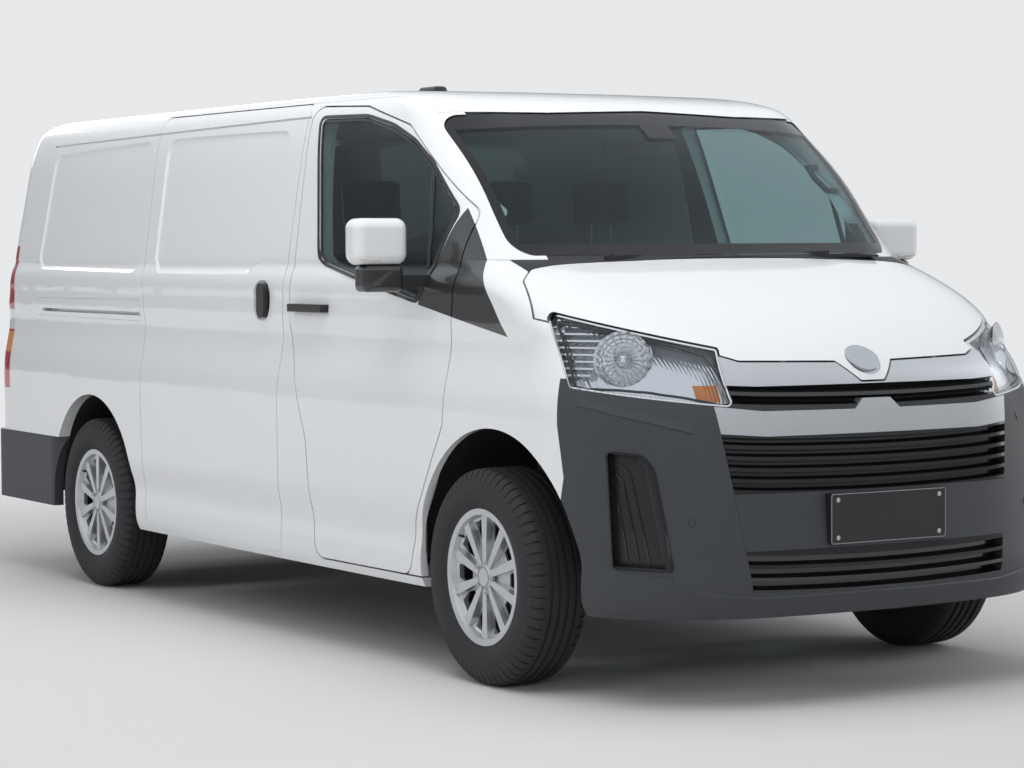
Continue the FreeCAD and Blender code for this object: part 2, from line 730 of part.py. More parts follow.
def tail_lamp_block(gap):
    low = SILL + s("tail_lamp_bottom_step")
    rear = behind("tail_reach")
    inner = s("tailgate_half") + (0 if gap else s("shut_gap"))
    return box(inner, 1100, rear - s("tail_lamp_length") - gap,
               rear + 200, low - gap, low + s("tail_lamp_height") + gap)


def roof_block(gap):
    """Roof and its headers, down to the header line between the side walls."""
    half_width = s("header_half") + gap
    return box(-half_width, half_width, -3000, 3000, HEADER - gap, ROOF + 50)


def rear_bumper_block():
    top = SILL + s("rear_bumper_top_step")
    return box(-1200, 1200, REAR_AXLE + s("bumper_side_reach"), 2700, 0, top + s("seam_gap"))


def make_body():
    left = side_wall(False)
    right = other_side(side_wall(True))
    keep("side_left", left)
    keep("side_right", right)
    slide = WALL.common(side_prism(SLIDE_PANEL, 40, 0, 600, 1200)).cut(roof_block(s("slide_gap")))
    pull = side_prism(PULL, 55, 0, 600, 1200).cut(DEEP)
    slide = biggest(slide.cut([pressing(SLIDE_PRESSING, 40), groove(DRIP), pull]))
    keep("sliding_door", other_side(slide))
    make_slide_rail()
    half_width = s("header_half")
    roof_view = front_prism([(-half_width, HEADER), (half_width, HEADER), (half_width, ROOF_SEAM),
                             (1000, ROOF_SEAM), (1000, ROOF + 50), (-1000, ROOF + 50),
                             (-1000, ROOF_SEAM), (-half_width, ROOF_SEAM)])
    roof = WALL.common(roof_view)
    roof = roof.cut(front_prism(SCREEN, 60, s("seam_gap"), -2000, -900))
    roof = roof.cut(front_prism(GATE, 50, s("shut_gap"), 2100, 2800))
    keep("roof", biggest(roof))
    screen = GLASS.common(front_prism(SCREEN, 60, 0, -2000, -900))
    keep("windscreen", biggest(screen))
    lamp = tail_lamp_block(0).common(WALL)
    keep("tail_lamps", Part.makeCompound([biggest(lamp), other_side(biggest(lamp))]))


def make_front():
    wing_view = side_prism([(FRONT_AXLE + 640, DOOR_LOW), (-2700, DOOR_LOW), (-2700, COWL), (FRONT_AXLE + 640, COWL)],
                           near=450)
    bumper_view = side_prism([(-2700, SILL - 5), (FRONT_AXLE - 380, SILL - 5), (FRONT_AXLE - 455, NOSE_TOP - 260),
                              (FRONT_AXLE - 425, NOSE_TOP - 100), (FRONT_AXLE - 412, CREASE - 100),
                              (-2700, CREASE - 100)])
    wing = THIN.common(wing_view).cut(side_prism(DOOR, 60, s("shut_gap"))).cut(BONNET_HOLE)
    wing = wing.cut(LAMP_HOLE).cut(FRONT_ARCH).cut(bumper_view).cut(cowl_block(s("seam_gap")))
    wing = biggest(wing)
    keep("front_wings", Part.makeCompound([wing, other_side(wing)]))
    bonnet = biggest(THIN.common(BONNET_BLOCK))
    low, high = NOSE_LOW(NOSE_TOP + 68), NOSE_LOW(NOSE_TOP + 128)
    away = V(0, -60, high - low).normalize()
    middle = V(0, (low + high) / 2, NOSE_TOP + 98)
    badge = tube(middle - away * 8, away, s("badge_radius"), 8 + s("badge_proud"))
    keep("bonnet", bonnet.fuse(badge).removeSplitter())
    make_headlamps()
    view = grille_view()
    bumper = WALL.common(bumper_view).cut(LAMP_HOLE).cut(other_side(LAMP_HOLE)).cut(FRONT_ARCH)
    bumper = bumper.cut(BONNET_HOLE).cut(front_prism(view, 0, s("seam_gap"), -2800, -2000))
    vent = fog_vent()
    bumper = biggest(bumper.cut([vent, other_side(vent)]))
    make_grille(view, bumper)


def grille_view():
    lip = SILL + 82
    return [(-489, lip), (489, lip), (575, NOSE_TOP - 30), (575, CREASE), (-575, CREASE), (-575, NOSE_TOP - 30)]


def fog_vent():
    """Blind vent in the bumper's corner with three nested ribs."""
    top = V(837, FRONT_AXLE - 598, SILL + 510)
    across = V(-62, -88, -12)
    low = V(842, FRONT_AXLE - 630, SILL + 160)
    low_across = V(-115, -134, -4)

    def nested(step, gap):
        share = 1 - 0.24 * step
        drop = V(0, 0, -14 * step)
        corners = [top + drop, top + across * share + drop,
                   top + across * share + V(-14, -20, -40) * share + drop, low + low_across * share, low]
        return corner_prism([(point.x, point.y, point.z) for point in corners], 8, gap)

    vent = nested(0, 0).cut(DEEP)
    ribs = [nested(step, 0).cut(nested(step, -4)).common(LENS_ROOM) for step in (1, 2, 3)]
    return vent.cut(ribs)


def bonnet_path():
    """Space that the opening bonnet passes through in its first degrees, beside the lamps."""
    hinge = V(0, FRONT_AXLE - s("hinge_step"), COWL - s("hinge_drop"))
    steps = [BONNET_HOLE.copy() for _ in range(int(s("path_steps")))]
    for index, step in enumerate(steps):
        step.rotate(hinge, V(-1, 0, 0), (index + 1) * s("path_degrees") / s("path_steps"))
    return steps


def make_headlamps():
    """Lamp bodies with a round bowl, a stack of louvres and a divider, behind clear lenses."""
    rim = s("lamp_rim")
    path = bonnet_path()
    lamp = biggest(WALL.common(LAMP).cut([BONNET_HOLE] + path))
    body = lamp.cut(lamp_prism(-rim).cut(DEEP))
    centre = V(782, ahead("nose_reach") + 236, NOSE_TOP + 113)
    sight = V(0.58, -0.80, 0.12).normalize()
    radius = s("bowl_radius")
    floor = s("bowl_floor")
    front = s("bowl_front")
    bowl = tube(centre - sight * floor, sight, radius - 4, floor)
    ring = tube(centre - sight * floor, sight, radius, floor - front).cut(bowl)
    cap = Part.makeCone(26, 14, 34, centre - sight * (floor + 0.5), sight)
    outer_end = box(700, 1000, FRONT_AXLE - 520, FRONT_AXLE - 300, NOSE_TOP, COWL)
    louvres = [box(600, 1000, FRONT_AXLE - 505, FRONT_AXLE - 320, NOSE_TOP + 52 + 21 * step, NOSE_TOP + 58 + 21 * step)
               for step in range(9)]
    divider = front_prism([(618, NOSE_TOP + 62), (624, NOSE_TOP + 62), (632, CREASE + 30), (626, CREASE + 30)],
                          0, 0, -2700, -2200)
    shelf = front_prism([(515, NOSE_TOP + 52), (621, NOSE_TOP + 63), (621, NOSE_TOP + 69), (515, NOSE_TOP + 58)],
                        0, 0, -2700, -2200)
    inside = lamp.common(LENS_ROOM)
    fins = inside.common(Part.makeCompound([blade.common(outer_end) for blade in louvres] + [divider, shelf]))
    body = body.cut(bowl).fuse([ring.common(inside), cap.common(inside), fins])
    body = biggest(body)
    keep("headlamps", Part.makeCompound([body, other_side(body)]))
    lens = biggest(GLASS.common(lamp_prism(-rim - s("seat_gap"))).cut(path))
    keep("headlamp_lenses", Part.makeCompound([lens, other_side(lens)]))


def make_grille(view, bumper):
    """Black slats behind two silver bars and a grey plate band, each bar let into the slats' frame."""
    face = WALL.common(front_prism(view, 0, 0, -2800, -2000)).cut(BONNET_HOLE)
    face = biggest(face.cut(LAMP_HOLE).cut(other_side(LAMP_HOLE)))
    bar_low = FLANK_HIGH - s("bar_low_step") - 10
    bar_high = bar_low + s("bar_high_step") - 30
    tab = bar_high + 30
    dark_top = NOSE_TOP + 22
    lower_bar = [(-600, bar_low + 14), (-420, bar_low), (420, bar_low), (600, bar_low + 14), (600, bar_high + 2),
                 (420, bar_high - 18), (88, bar_high - 20), (54, tab - 18), (-54, tab - 18), (-88, bar_high - 20),
                 (-420, bar_high - 18), (-600, bar_high + 2)]
    upper_bar = [(-600, dark_top + 8), (-430, dark_top), (430, dark_top), (600, dark_top + 8), (600, CREASE + 20),
                 (-600, CREASE + 20)]
    band_low = SILL + s("band_low_step")
    band_high = SILL + s("band_high_step")
    band = [(-600, band_low), (600, band_low), (600, band_high), (-600, band_high)]

    def inlay(points):
        piece = biggest(face.common(front_prism(points, 0, 0, -2800, -2000)).cut(DEEP))
        piece.translate(V(0, -s("seat_gap"), 0))
        return piece

    def slots(low, high):
        pitch = s("slat_pitch")
        count = int((high - low) / pitch)
        step = (high - low) / count
        lean = s("slat_lean")
        opening = step - s("slat_thickness")
        rows = [low + step * index for index in range(count)]
        return [side_prism([(-2800, z), (-2800, z + opening), (-2000, z + opening + lean * 20), (-2000, z + lean * 20)],
                           near=-620, far=620) for z in rows]

    lean_drop = s("slat_lean") * 5
    rooms = [front_prism(points, 0, s("seam_gap"), -2800, -2000) for points in (lower_bar, upper_bar, band)]
    rows = (slots(SILL + 88 - lean_drop, band_low - 6 - lean_drop)
            + slots(band_high + 3 - lean_drop, bar_low - 4 - lean_drop)
            + slots(bar_high - 12 - lean_drop, dark_top + 2 - lean_drop))
    frame = face.cut(Part.makeCompound(rooms).cut(DEEP)).cut(Part.makeCompound(rows).cut(DEEP))
    keep("grille", biggest(frame).fuse(bonnet_stops()))
    keep("grille_bars", Part.makeCompound([inlay(upper_bar), inlay(lower_bar)]))
    keep("front_bumper", Part.makeCompound([bumper, inlay(band)]))


def bonnet_stops():
    """Two rubber stops on the grille's top edge, under the bonnet's front edge."""
    band = bonnet_block(s("shut_gap")).cut(bonnet_block(s("striker_gap")))
    stops = [THIN.common(band).common(box(x - 12, x + 12, -2800, FRONT_AXLE - 700, NOSE_TOP, COWL))
             for x in (-300, 300)]
    return [biggest(stop) for stop in stops]


def make_doors():
    door = biggest(WALL.common(side_prism(DOOR, 60, 0, 600, 1200)).cut(roof_block(s("shut_gap"))))
    door = biggest(door.cut(side_prism(DOOR_WINDOW, 30, 0, 600, 1200)))
    glass = biggest(GLASS.common(side_prism(DOOR_WINDOW, 30, -0.3, 600, 1200)))
    keep("door_left", door)
    keep("door_left_glass", glass)
    keep("door_right", other_side(door))
    keep("door_right_glass", other_side(glass))


def make_tailgate():
    gate = WALL.common(front_prism(GATE, 50, 0, 2100, 2800))
    gate = gate.cut(front_prism(GATE_WINDOW, 50, 0, 2100, 2800))
    recess = front_prism([(-290, CREASE - 190), (290, CREASE - 190), (270, CREASE + 20), (-270, CREASE + 20)], 20, 0,
                         2100, 2800).cut(DEEP)
    keep("tailgate", biggest(gate.cut(recess)))
    glass = GLASS.common(front_prism(GATE_WINDOW, 50, -0.3, 2100, 2800))
    keep("tailgate_glass", biggest(glass))


def make_bumper_and_floor():
    top = SILL + s("rear_bumper_top_step")
    rear = s("body_length") / 2
    corner = 130

    def ring(inset):
        x = s("body_half") - 8 - inset
        start = REAR_AXLE + s("bumper_side_reach")
        return outline([V(-x, start, 0), V(-x, rear - inset, 0), V(x, rear - inset, 0), V(x, start, 0)], corner - inset / 2)

    outer = Part.Face(ring(0)).extrude(V(0, 0, s("rear_bumper_height")))
    inner = Part.Face(ring(s("bumper_thickness"))).extrude(V(0, 0, s("rear_bumper_height")))
    deck = inner.copy()
    deck.translate(V(0, 0, s("rear_bumper_height") - s("bumper_thickness")))
    bumper = outer.cut(inner.cut(deck))
    bumper.translate(V(0, 0, top - s("rear_bumper_height")))
    inside = box(-850, 850, 0, FLOOR_REAR + s("seat_gap"), -100, 2400)
    housing = arch_block(REAR_AXLE, s("rear_arch_radius") + 10.5, s("rear_arch_shift"), 500, 905.5)
    bumper = bumper.cut(REAR_ARCH).cut(inside).cut(housing).cut(other_side(housing))
    striker = box(-20, 20, behind("tail_reach") - 35, behind("tail_reach") - 10, top - 20,
                  GATE_LOW - s("striker_gap"))
    shelf = box(-120, 120, behind("tail_reach") - 60, behind("tail_reach") + 40, top - 20, top)
    keep("rear_bumper", biggest(bumper).fuse([shelf, striker]).removeSplitter())
    for side, name in ((-1, "rail_right"), (1, "rail_left")):
        block(name, "sizes.rail_width", "sizes.body_length - 420", "sizes.rail_height",
              "%d * sizes.rail_spacing / 2 - sizes.rail_width / 2" % side, "-sizes.body_length / 2 + 170",
              "sizes.floor_height - sizes.floor_thickness - sizes.rail_height")
    members = []
    for index, place in enumerate(("front_axle - 740", "front_axle + 1080", "front_axle + 1800",
                                   "rear_axle - 620", "rear_axle + 520", "rear_axle + 820"), 1):
        members.append(block("member_%d" % index, "sizes.rail_spacing", "60", "80", "-sizes.rail_spacing / 2",
                             "sizes." + place, "sizes.floor_height - sizes.floor_thickness"
                             " - sizes.rail_height + 20"))
    for side, name in ((-1, "right"), (1, "left")):
        for end, place in ((-1, "front"), (1, "rear")):
            members.append(block("hanger_%s_%s" % (place, name), "115", "70", "40",
                                 "%d * (sizes.rail_spacing / 2 + 92.5) - 57.5" % side,
                                 "sizes.rear_axle + %d * sizes.spring_half - 35" % end,
                                 "sizes.axle_height + sizes.spring_rise + sizes.seat_gap"))
        members.append(block("jack_pad_" + name, "sizes.pad_width", "sizes.pad_width", "sizes.pad_height + 1",
                             "%d * sizes.rail_spacing / 2 - sizes.pad_width / 2" % side,
                             "sizes.front_axle + sizes.pad_step - sizes.pad_width / 2",
                             "sizes.floor_height - sizes.floor_thickness - sizes.rail_height"
                             " - sizes.pad_height"))
    rails = [doc.getObject("rail_right"), doc.getObject("rail_left")]
    fused("chassis_frame", rails + members)
    floor = box(-1000, 1000, FRONT_AXLE + 480, FLOOR_REAR, FLOOR - s("floor_thickness"), FLOOR)
    floor = floor.common(envelope(s("wall_thickness") + s("seat_gap"), True))
    wells = arch_block(REAR_AXLE, s("rear_arch_radius") + 10.5, s("rear_arch_shift"), 595.7, 1000)
    floor = floor.cut(wells).cut(other_side(wells))
    for x0, x1 in ((-1100, -849.7), (849.7, 1100)):
        floor = floor.cut(box(x0, x1, REAR_AXLE + s("bumper_side_reach") - 0.3, 3000, 0, 1000))
    mat = box(-s("mat_half"), s("mat_half"), FRONT_AXLE + s("mat_front_step"), FLOOR_REAR - s("mat_rear_step"),
              FLOOR - 1, FLOOR + s("mat_thickness"))
    keep("load_floor", biggest(floor).fuse(mat))


def make_liners():
    def liner(axle, radius, shift, inner):
        outside = arch_block(axle, radius + 10, shift, inner - 4, 905)
        inside = arch_block(axle, radius + 4, shift, inner, 910)
        shell = outside.cut(inside)
        low = box(-1200, 1200, -3000, 3000, 0, s("arch_centre_height") - 20)
        return biggest(shell.cut(low))

    front = liner(FRONT_AXLE, s("front_housing_radius"), s("front_housing_shift"), 479.5)
    strut = Part.makeCylinder(31, 800, V(s("front_track") / 2 - s("kingpin_inset"), FRONT_AXLE, 300), V(0, 0, 1))
    front = biggest(front.common(envelope(s("wall_thickness") + 8, True)).cut(strut))
    rear = liner(REAR_AXLE, s("rear_arch_radius"), s("rear_arch_shift"), 600)
    rear = biggest(rear.common(envelope(s("wall_thickness") + 1, True)).cut(
        box(590, 610, REAR_AXLE - 60, REAR_AXLE + 60, 0, s("axle_height") + 60)))
    shapes = [front, other_side(front), rear, other_side(rear)]
    keep("wheel_housings", Part.makeCompound(shapes))


def make_wheels():
    """Tyre and wheel of one corner as turned bodies, and the same pair at the other three."""
    tyre = doc.addObject("PartDesign::Body", "tyre_body")
    wide = "sizes.tyre_width / 2"
    tall = "sizes.tyre_diameter / 2"
    rim = "sizes.rim_diameter / 2"
    edge = "sizes.rim_width / 2"
    bead = "%s + sizes.seat_gap" % rim
    bulge = "%s + sizes.tyre_bulge_step" % rim
    shoulder = "%s - sizes.tyre_shoulder" % tall
    tread = "%s - sizes.tyre_shoulder" % wide
    bead_edge = "(%s - sizes.seat_gap)" % edge
    half_section = [(bead_edge, bead), (wide, bulge), (wide + " - 6", shoulder), (tread, tall)]
    corners = half_section + [("-(%s)" % x, y) for x, y in half_section[::-1]]
    sketch = profile(tyre, "tyre_profile", "XY_Plane", corners)
    revolved(tyre, "tyre_ring", sketch)
    wheel = doc.addObject("PartDesign::Body", "wheel_body")
    lip = rim + " + sizes.rim_lip"
    barrel = rim + " - sizes.rim_wall"
    sketch = profile(wheel, "rim_profile", "XY_Plane", [
        ("-" + edge, rim), (edge, rim), (edge + " + 3.4", lip), (edge + " + 7", lip), (edge + " + 5", barrel + " + 2"),
        ("sizes.wheel_offset + 26", barrel + " - 6"), ("sizes.wheel_offset + 8", barrel + " - 34"),
        ("sizes.wheel_offset + 10", barrel + " - 84"), ("sizes.wheel_offset + 26", "sizes.spoke_inner + 8"),
        ("sizes.spoke_face + 4", "sizes.spoke_inner - 6"), ("sizes.spoke_face + 4", "0"), ("sizes.wheel_offset", "0"),
        ("sizes.wheel_offset", "80"), ("sizes.wheel_offset - 10", barrel + " - 40"),
        ("sizes.wheel_offset - 20", barrel), ("-(%s + 5)" % edge, barrel), ("-(%s + 7)" % edge, lip),
        ("-(%s + 3.4)" % edge, lip)])
    revolved(wheel, "rim_ring", sketch)
    spoke = profile(wheel, "spoke_profile", "YZ_Plane", [
        ("-sizes.spoke_half_inner", "sizes.spoke_inner"), ("sizes.spoke_half_inner", "sizes.spoke_inner"),
        ("sizes.spoke_half_outer", "sizes.spoke_outer - 4"), ("-sizes.spoke_half_outer", "sizes.spoke_outer - 4")])
    spoke.setExpression("AttachmentOffset.Base.z", "sizes.wheel_offset + 4")
    pad = wheel.newObject("PartDesign::Pad", "spoke")
    pad.Profile = spoke
    pad.setExpression("Length", "sizes.spoke_face - sizes.wheel_offset - 4")
    turn = "sin(180 / sizes.spoke_count)"
    inner_half = "(sizes.window_inner * %s - sizes.spoke_half_inner - 8)" % turn
    outer_half = "(sizes.window_outer * %s - sizes.spoke_half_outer - 5)" % turn
    window = profile(wheel, "window_profile", "YZ_Plane", [
        ("-" + inner_half, "sizes.window_inner"), (inner_half, "sizes.window_inner"),
        (outer_half, "sizes.window_outer - 26"), (outer_half + " * 0.6", "sizes.window_outer"),
        ("-%s * 0.6" % outer_half, "sizes.window_outer"), ("-" + outer_half, "sizes.window_outer - 26")])
    window.setExpression("AttachmentOffset.Rotation.Angle", "180 / sizes.spoke_count")
    pocket = wheel.newObject("PartDesign::Pocket", "window")
    pocket.Profile = window
    pocket.Midplane = True
    pocket.setExpression("Length", "3 * sizes.rim_width")
    ring = wheel.newObject("PartDesign::PolarPattern", "spokes_and_windows")
    ring.Originals = [pad, pocket]
    ring.Axis = (spoke, ["N_Axis"])
    ring.Angle = 360
    ring.setExpression("Occurrences", "sizes.spoke_count")
    wheel.Tip = ring
    doc.recompute()
    for corner, axle, sign in (("fl", "front", 1), ("fr", "front", -1), ("rl", "rear", 1), ("rr", "rear", -1)):
        place = V(sign * s(axle + "_track") / 2, s(axle + "_axle"), s("axle_height"))
        turn = FreeCAD.Rotation(V(0, 0, 1), 180 if sign < 0 else 0)
        for body, label in ((tyre, "tyre_" + corner), (wheel, "wheel_" + corner)):
            shape = body.Shape.copy()
            shape.Placement = FreeCAD.Placement(place, turn)
            keep(label, shape)


def tube(centre, direction, radius, length):
    return Part.makeCylinder(radius, length, centre, direction)


def make_front_suspension():
    z = s("axle_height")
    seat = s("seat_gap")
    hub_face = s("front_track") / 2 + s("wheel_offset") - seat
    pin = s("front_track") / 2 - s("kingpin_inset")
    across = V(1, 0, 0)
    hub = tube(V(hub_face - 70, FRONT_AXLE, z), across, s("hub_radius"), 70)
    disc = tube(V(hub_face - 80, FRONT_AXLE, z), across, 150, 22)
    post = box(pin - 28, pin + 28, FRONT_AXLE - 35, FRONT_AXLE + 35, z - 110, z + 120)
    stub = tube(V(pin, FRONT_AXLE, z), across, 42, hub_face - 70 - pin)
    knuckle = hub.fuse([disc, post, stub]).removeSplitter()
    keep("knuckle_left", knuckle)
    keep("knuckle_right", other_side(knuckle))
    arm = outline([V(pin - 25, FRONT_AXLE - 30, 0), V(pin + 25, FRONT_AXLE - 30, 0), V(pin + 25, FRONT_AXLE + 30, 0),
                   V(pin - 25, FRONT_AXLE + 30, 0), V(400, FRONT_AXLE + 170, 0), V(400, FRONT_AXLE - 170, 0)], 18)
    arm = Part.Face(arm).extrude(V(0, 0, 30))
    arm.translate(V(0, 0, z - 110 - 30 - seat))
    rail_inner = s("rail_spacing") / 2 - s("rail_width") / 2
    rail_outer = rail_inner + s("rail_width")
    rail_low = FLOOR - s("floor_thickness") - s("rail_height")
    low = z - 140 - seat
    cross = box(-rail_outer, rail_outer, FRONT_AXLE - 60, FRONT_AXLE + 60, low, low + 60)
    posts = [box(x, x + s("rail_width"), FRONT_AXLE - 60, FRONT_AXLE + 60, low, rail_low - seat)
             for x in (-rail_outer, rail_inner)]
    carrier = cross.fuse([arm, other_side(arm)] + posts).removeSplitter()
    crest = s("arch_centre_height") + s("front_housing_radius") + 10
    strut = tube(V(pin, FRONT_AXLE, z + 120 + seat), V(0, 0, 1), 30, crest - z - 120)
    strut = strut.fuse(tube(V(pin, FRONT_AXLE, crest + seat), V(0, 0, 1), 75, 14))
    keep("front_suspension", Part.makeCompound([carrier, strut, other_side(strut)]))


def make_rear_axle():
    z = s("axle_height")
    seat = s("seat_gap")
    half_rear = s("rear_track") / 2
    hub_face = half_rear + s("wheel_offset") - seat
    across = V(1, 0, 0)
    beam = tube(V(-hub_face, REAR_AXLE, z), across, 42, 2 * hub_face)
    bowl = tube(V(0, REAR_AXLE - 85, z), V(0, 1, 0), 125, 170)
    nose = tube(V(0, REAR_AXLE - 200, z), V(0, 1, 0), 50, 150)
    drums = [tube(V(x, REAR_AXLE, z), across, 140, 58) for x in (-half_rear - 27, half_rear - 31)]
    hubs = [tube(V(x, REAR_AXLE, z), across, s("hub_radius"), 60) for x in (-hub_face, hub_face - 60)]
    keep("rear_axle", beam.fuse([bowl, nose] + drums + hubs).removeSplitter())
    springs = []
    for side in (-1, 1):
        x = side * 560
        end_low = z + s("spring_rise") - 20
        reach = s("spring_half")

        def bow(end, middle):
            return Part.Arc(V(x, REAR_AXLE - reach, end), V(x, REAR_AXLE, middle), V(x, REAR_AXLE + reach, end)).toShape()

        lower = bow(end_low, z + 42 + seat)
        upper = bow(end_low + 20, z + 68)
        ends = [Part.LineSegment(V(x, y, end_low), V(x, y, end_low + 20)).toShape()
                for y in (REAR_AXLE - reach, REAR_AXLE + reach)]
        leaf = Part.Face(Part.Wire(Part.sortEdges([lower, upper] + ends)[0])).extrude(V(60, 0, 0))
        leaf.translate(V(-30, 0, 0))
        springs.append(leaf)
    keep("leaf_springs", Part.makeCompound(springs))


def make_drive_line():
    z = s("axle_height")
    seat = s("seat_gap")
    rail_inner = s("rail_spacing") / 2 - s("rail_width") / 2
    engine = box(-300, 300, FRONT_AXLE - 520, FRONT_AXLE + 120, 430, 1000)
    gearbox = Part.makeCone(165, 90, 700, V(0, FRONT_AXLE + 120, z + 50), V(0, 1, 0))
    feet = [box(x0, x1, FRONT_AXLE - 240, FRONT_AXLE - 160, 480, 540)
            for x0, x1 in ((-rail_inner + seat, -290), (290, rail_inner - seat))]
    keep("engine", engine.fuse([gearbox] + feet).removeSplitter())
    start = V(0, FRONT_AXLE + 820 + 1, z + 50)
    end = V(0, REAR_AXLE - 200 - 1, z)
    shaft = tube(start, end - start, 38, (end - start).Length)
    keep("propeller_shaft", shaft)
    member_low = FLOOR - s("floor_thickness") - s("rail_height") + 20
    tank = Part.makeBox(330, 900, 190, V(60, FRONT_AXLE + 1650, member_low - seat - 190))
    keep("fuel_tank", tank.makeFillet(40, tank.Edges))
    rear = s("body_length") / 2
    points = [V(-250, FRONT_AXLE, 430 - seat), V(-250, FRONT_AXLE, 330), V(-250, REAR_AXLE - 440, 330),
              V(-250, REAR_AXLE - 230, 430), V(-250, REAR_AXLE + 180, 430), V(-350, REAR_AXLE + 420, 380),
              V(-350, rear - 230, 380)]
    spine = outline_path(points, 60)
    section = Part.Wire([Part.makeCircle(26, points[0], V(0, 0, 1))])
    pipe = spine.makePipeShell([section], True, False)
    can = tube(V(-250, FRONT_AXLE + 1400, 330), V(0, 1, 0), 85, 520)
    strap = box(-262, -238, FRONT_AXLE + 1815, FRONT_AXLE + 1845, 400, member_low - seat)
    keep("exhaust", pipe.fuse([can, strap]))
    spare_z = member_low - seat - 90
    spare = Part.makeTorus(255, 90, V(40, REAR_AXLE + 640, spare_z), V(0, 0, 1))
    dish = tube(V(40, REAR_AXLE + 640, spare_z - 30), V(0, 0, 1), 190, 60)
    keep("spare_wheel", spare.fuse(dish))


def outline_path(points, radius):
    """Open path through the points with its inner corners rounded."""
    edges = []
    start = points[0]
    for before, corner, after in zip(points, points[1:], points[2:]):
        one = (before - corner).normalize()
        two = (after - corner).normalize()
        half_angle = one.getAngle(two) / 2
        cut = radius / math.tan(half_angle)
        way = (one + two).normalize()
        centre = corner + way * (radius / math.sin(half_angle))
        edges.append(Part.LineSegment(start, corner + one * cut).toShape())
        edges.append(Part.Arc(corner + one * cut, centre - way * radius, corner + two * cut).toShape())
        start = corner + two * cut
    edges.append(Part.LineSegment(start, points[-1]).toShape())
    return Part.Wire(edges)


def make_cab():
    seats = []
    for x0, x1 in ((-720, -180), (-60, 720)):
        y = FRONT_AXLE + 980
        base = Part.makeBox(x1 - x0, 520, 150, V(x0, y, FLOOR + 210))
        base = base.makeFillet(35, [edge for edge in base.Edges])
        back = Part.makeBox(x1 - x0, 130, 560, V(x0, y + 470, FLOOR + 300))
        back = back.makeFillet(35, back.Edges)
        back.rotate(V(0, y + 470, FLOOR + 300), V(1, 0, 0), -12)
        plinth = box(x0 + 40, x1 - 40, y + 40, y + 480, FLOOR + 0.3, FLOOR + 230)
        seat = base.fuse([back, plinth])
        for head in ([(x0 + x1) / 2] if x1 - x0 < 600 else [x0 + 200, x1 - 145]):
            rest = Part.makeBox(250, 90, 190, V(head - 125, y + 600, FLOOR + 885))
            rest = rest.makeFillet(30, rest.Edges)
            post = box(head - 40, head + 40, y + 615, y + 645, FLOOR + 800, FLOOR + 920)
            seat = seat.fuse([rest, post])
        seats.append(seat)
    keep("seats", Part.makeCompound(seats))
    dash_front = FRONT_AXLE + 200 + s("seat_gap")
    dash_side = [(dash_front, COWL - 60), (FRONT_AXLE + 330, COWL - 60), (FRONT_AXLE + 470, COWL - 140),
                 (FRONT_AXLE + 440, FLOOR + 330), (FRONT_AXLE + 300, FLOOR + 270), (dash_front, FLOOR + 270)]
    dash = side_prism(dash_side, 30, 0, -780, 780).common(envelope(s("wall_thickness") + 12, True))
    lean = math.radians(s("steering_lean"))
    axis = V(0, math.sin(lean), math.cos(lean))
    centre = V(s("steering_side"), FRONT_AXLE + s("steering_reach"), FLOOR + s("steering_rise"))
    shroud = tube(centre - axis * (s("column_length") + s("seat_gap")), -axis, 38, 110)
    keep("dashboard", biggest(dash).fuse(shroud))
    seat = s("seat_gap")
    sheet_side = [(FRONT_AXLE + 180, COWL - 130), (FRONT_AXLE + 180, FLOOR + 170), (FRONT_AXLE + 455, FLOOR + seat),
                  (FRONT_AXLE + 500, FLOOR + seat), (FRONT_AXLE + 200, FLOOR + 185), (FRONT_AXLE + 200, COWL - 130)]
    housing = arch_block(FRONT_AXLE, s("front_housing_radius") + 11, s("front_housing_shift"), 475, 1000)
    board = side_prism(sheet_side, 0, 0, -800, 800).cut(housing).cut(other_side(housing))
    board = board.common(envelope(s("wall_thickness") + 12, True))
    keep("toe_board", biggest(board))
    ring = Part.makeTorus(190, 15, V(0, 0, 0), V(0, 0, 1))
    hub = Part.makeCylinder(55, 40, V(0, 0, -35), V(0, 0, 1))
    spokes = [Part.makeBox(150, 36, 14, V(40, -18, -12)) for index in range(3)]
    for index, spoke in enumerate(spokes):
        spoke.rotate(V(0, 0, 0), V(0, 0, 1), -90 + 120 * index)
    column = tube(V(0, 0, -s("column_length")), V(0, 0, 1), 22, s("column_length") - 30)
    steer = ring.fuse(spokes + [hub, column])
    steer.rotate(V(0, 0, 0), V(1, 0, 0), -s("steering_lean"))
    steer.translate(centre)
    keep("steering_wheel", steer)


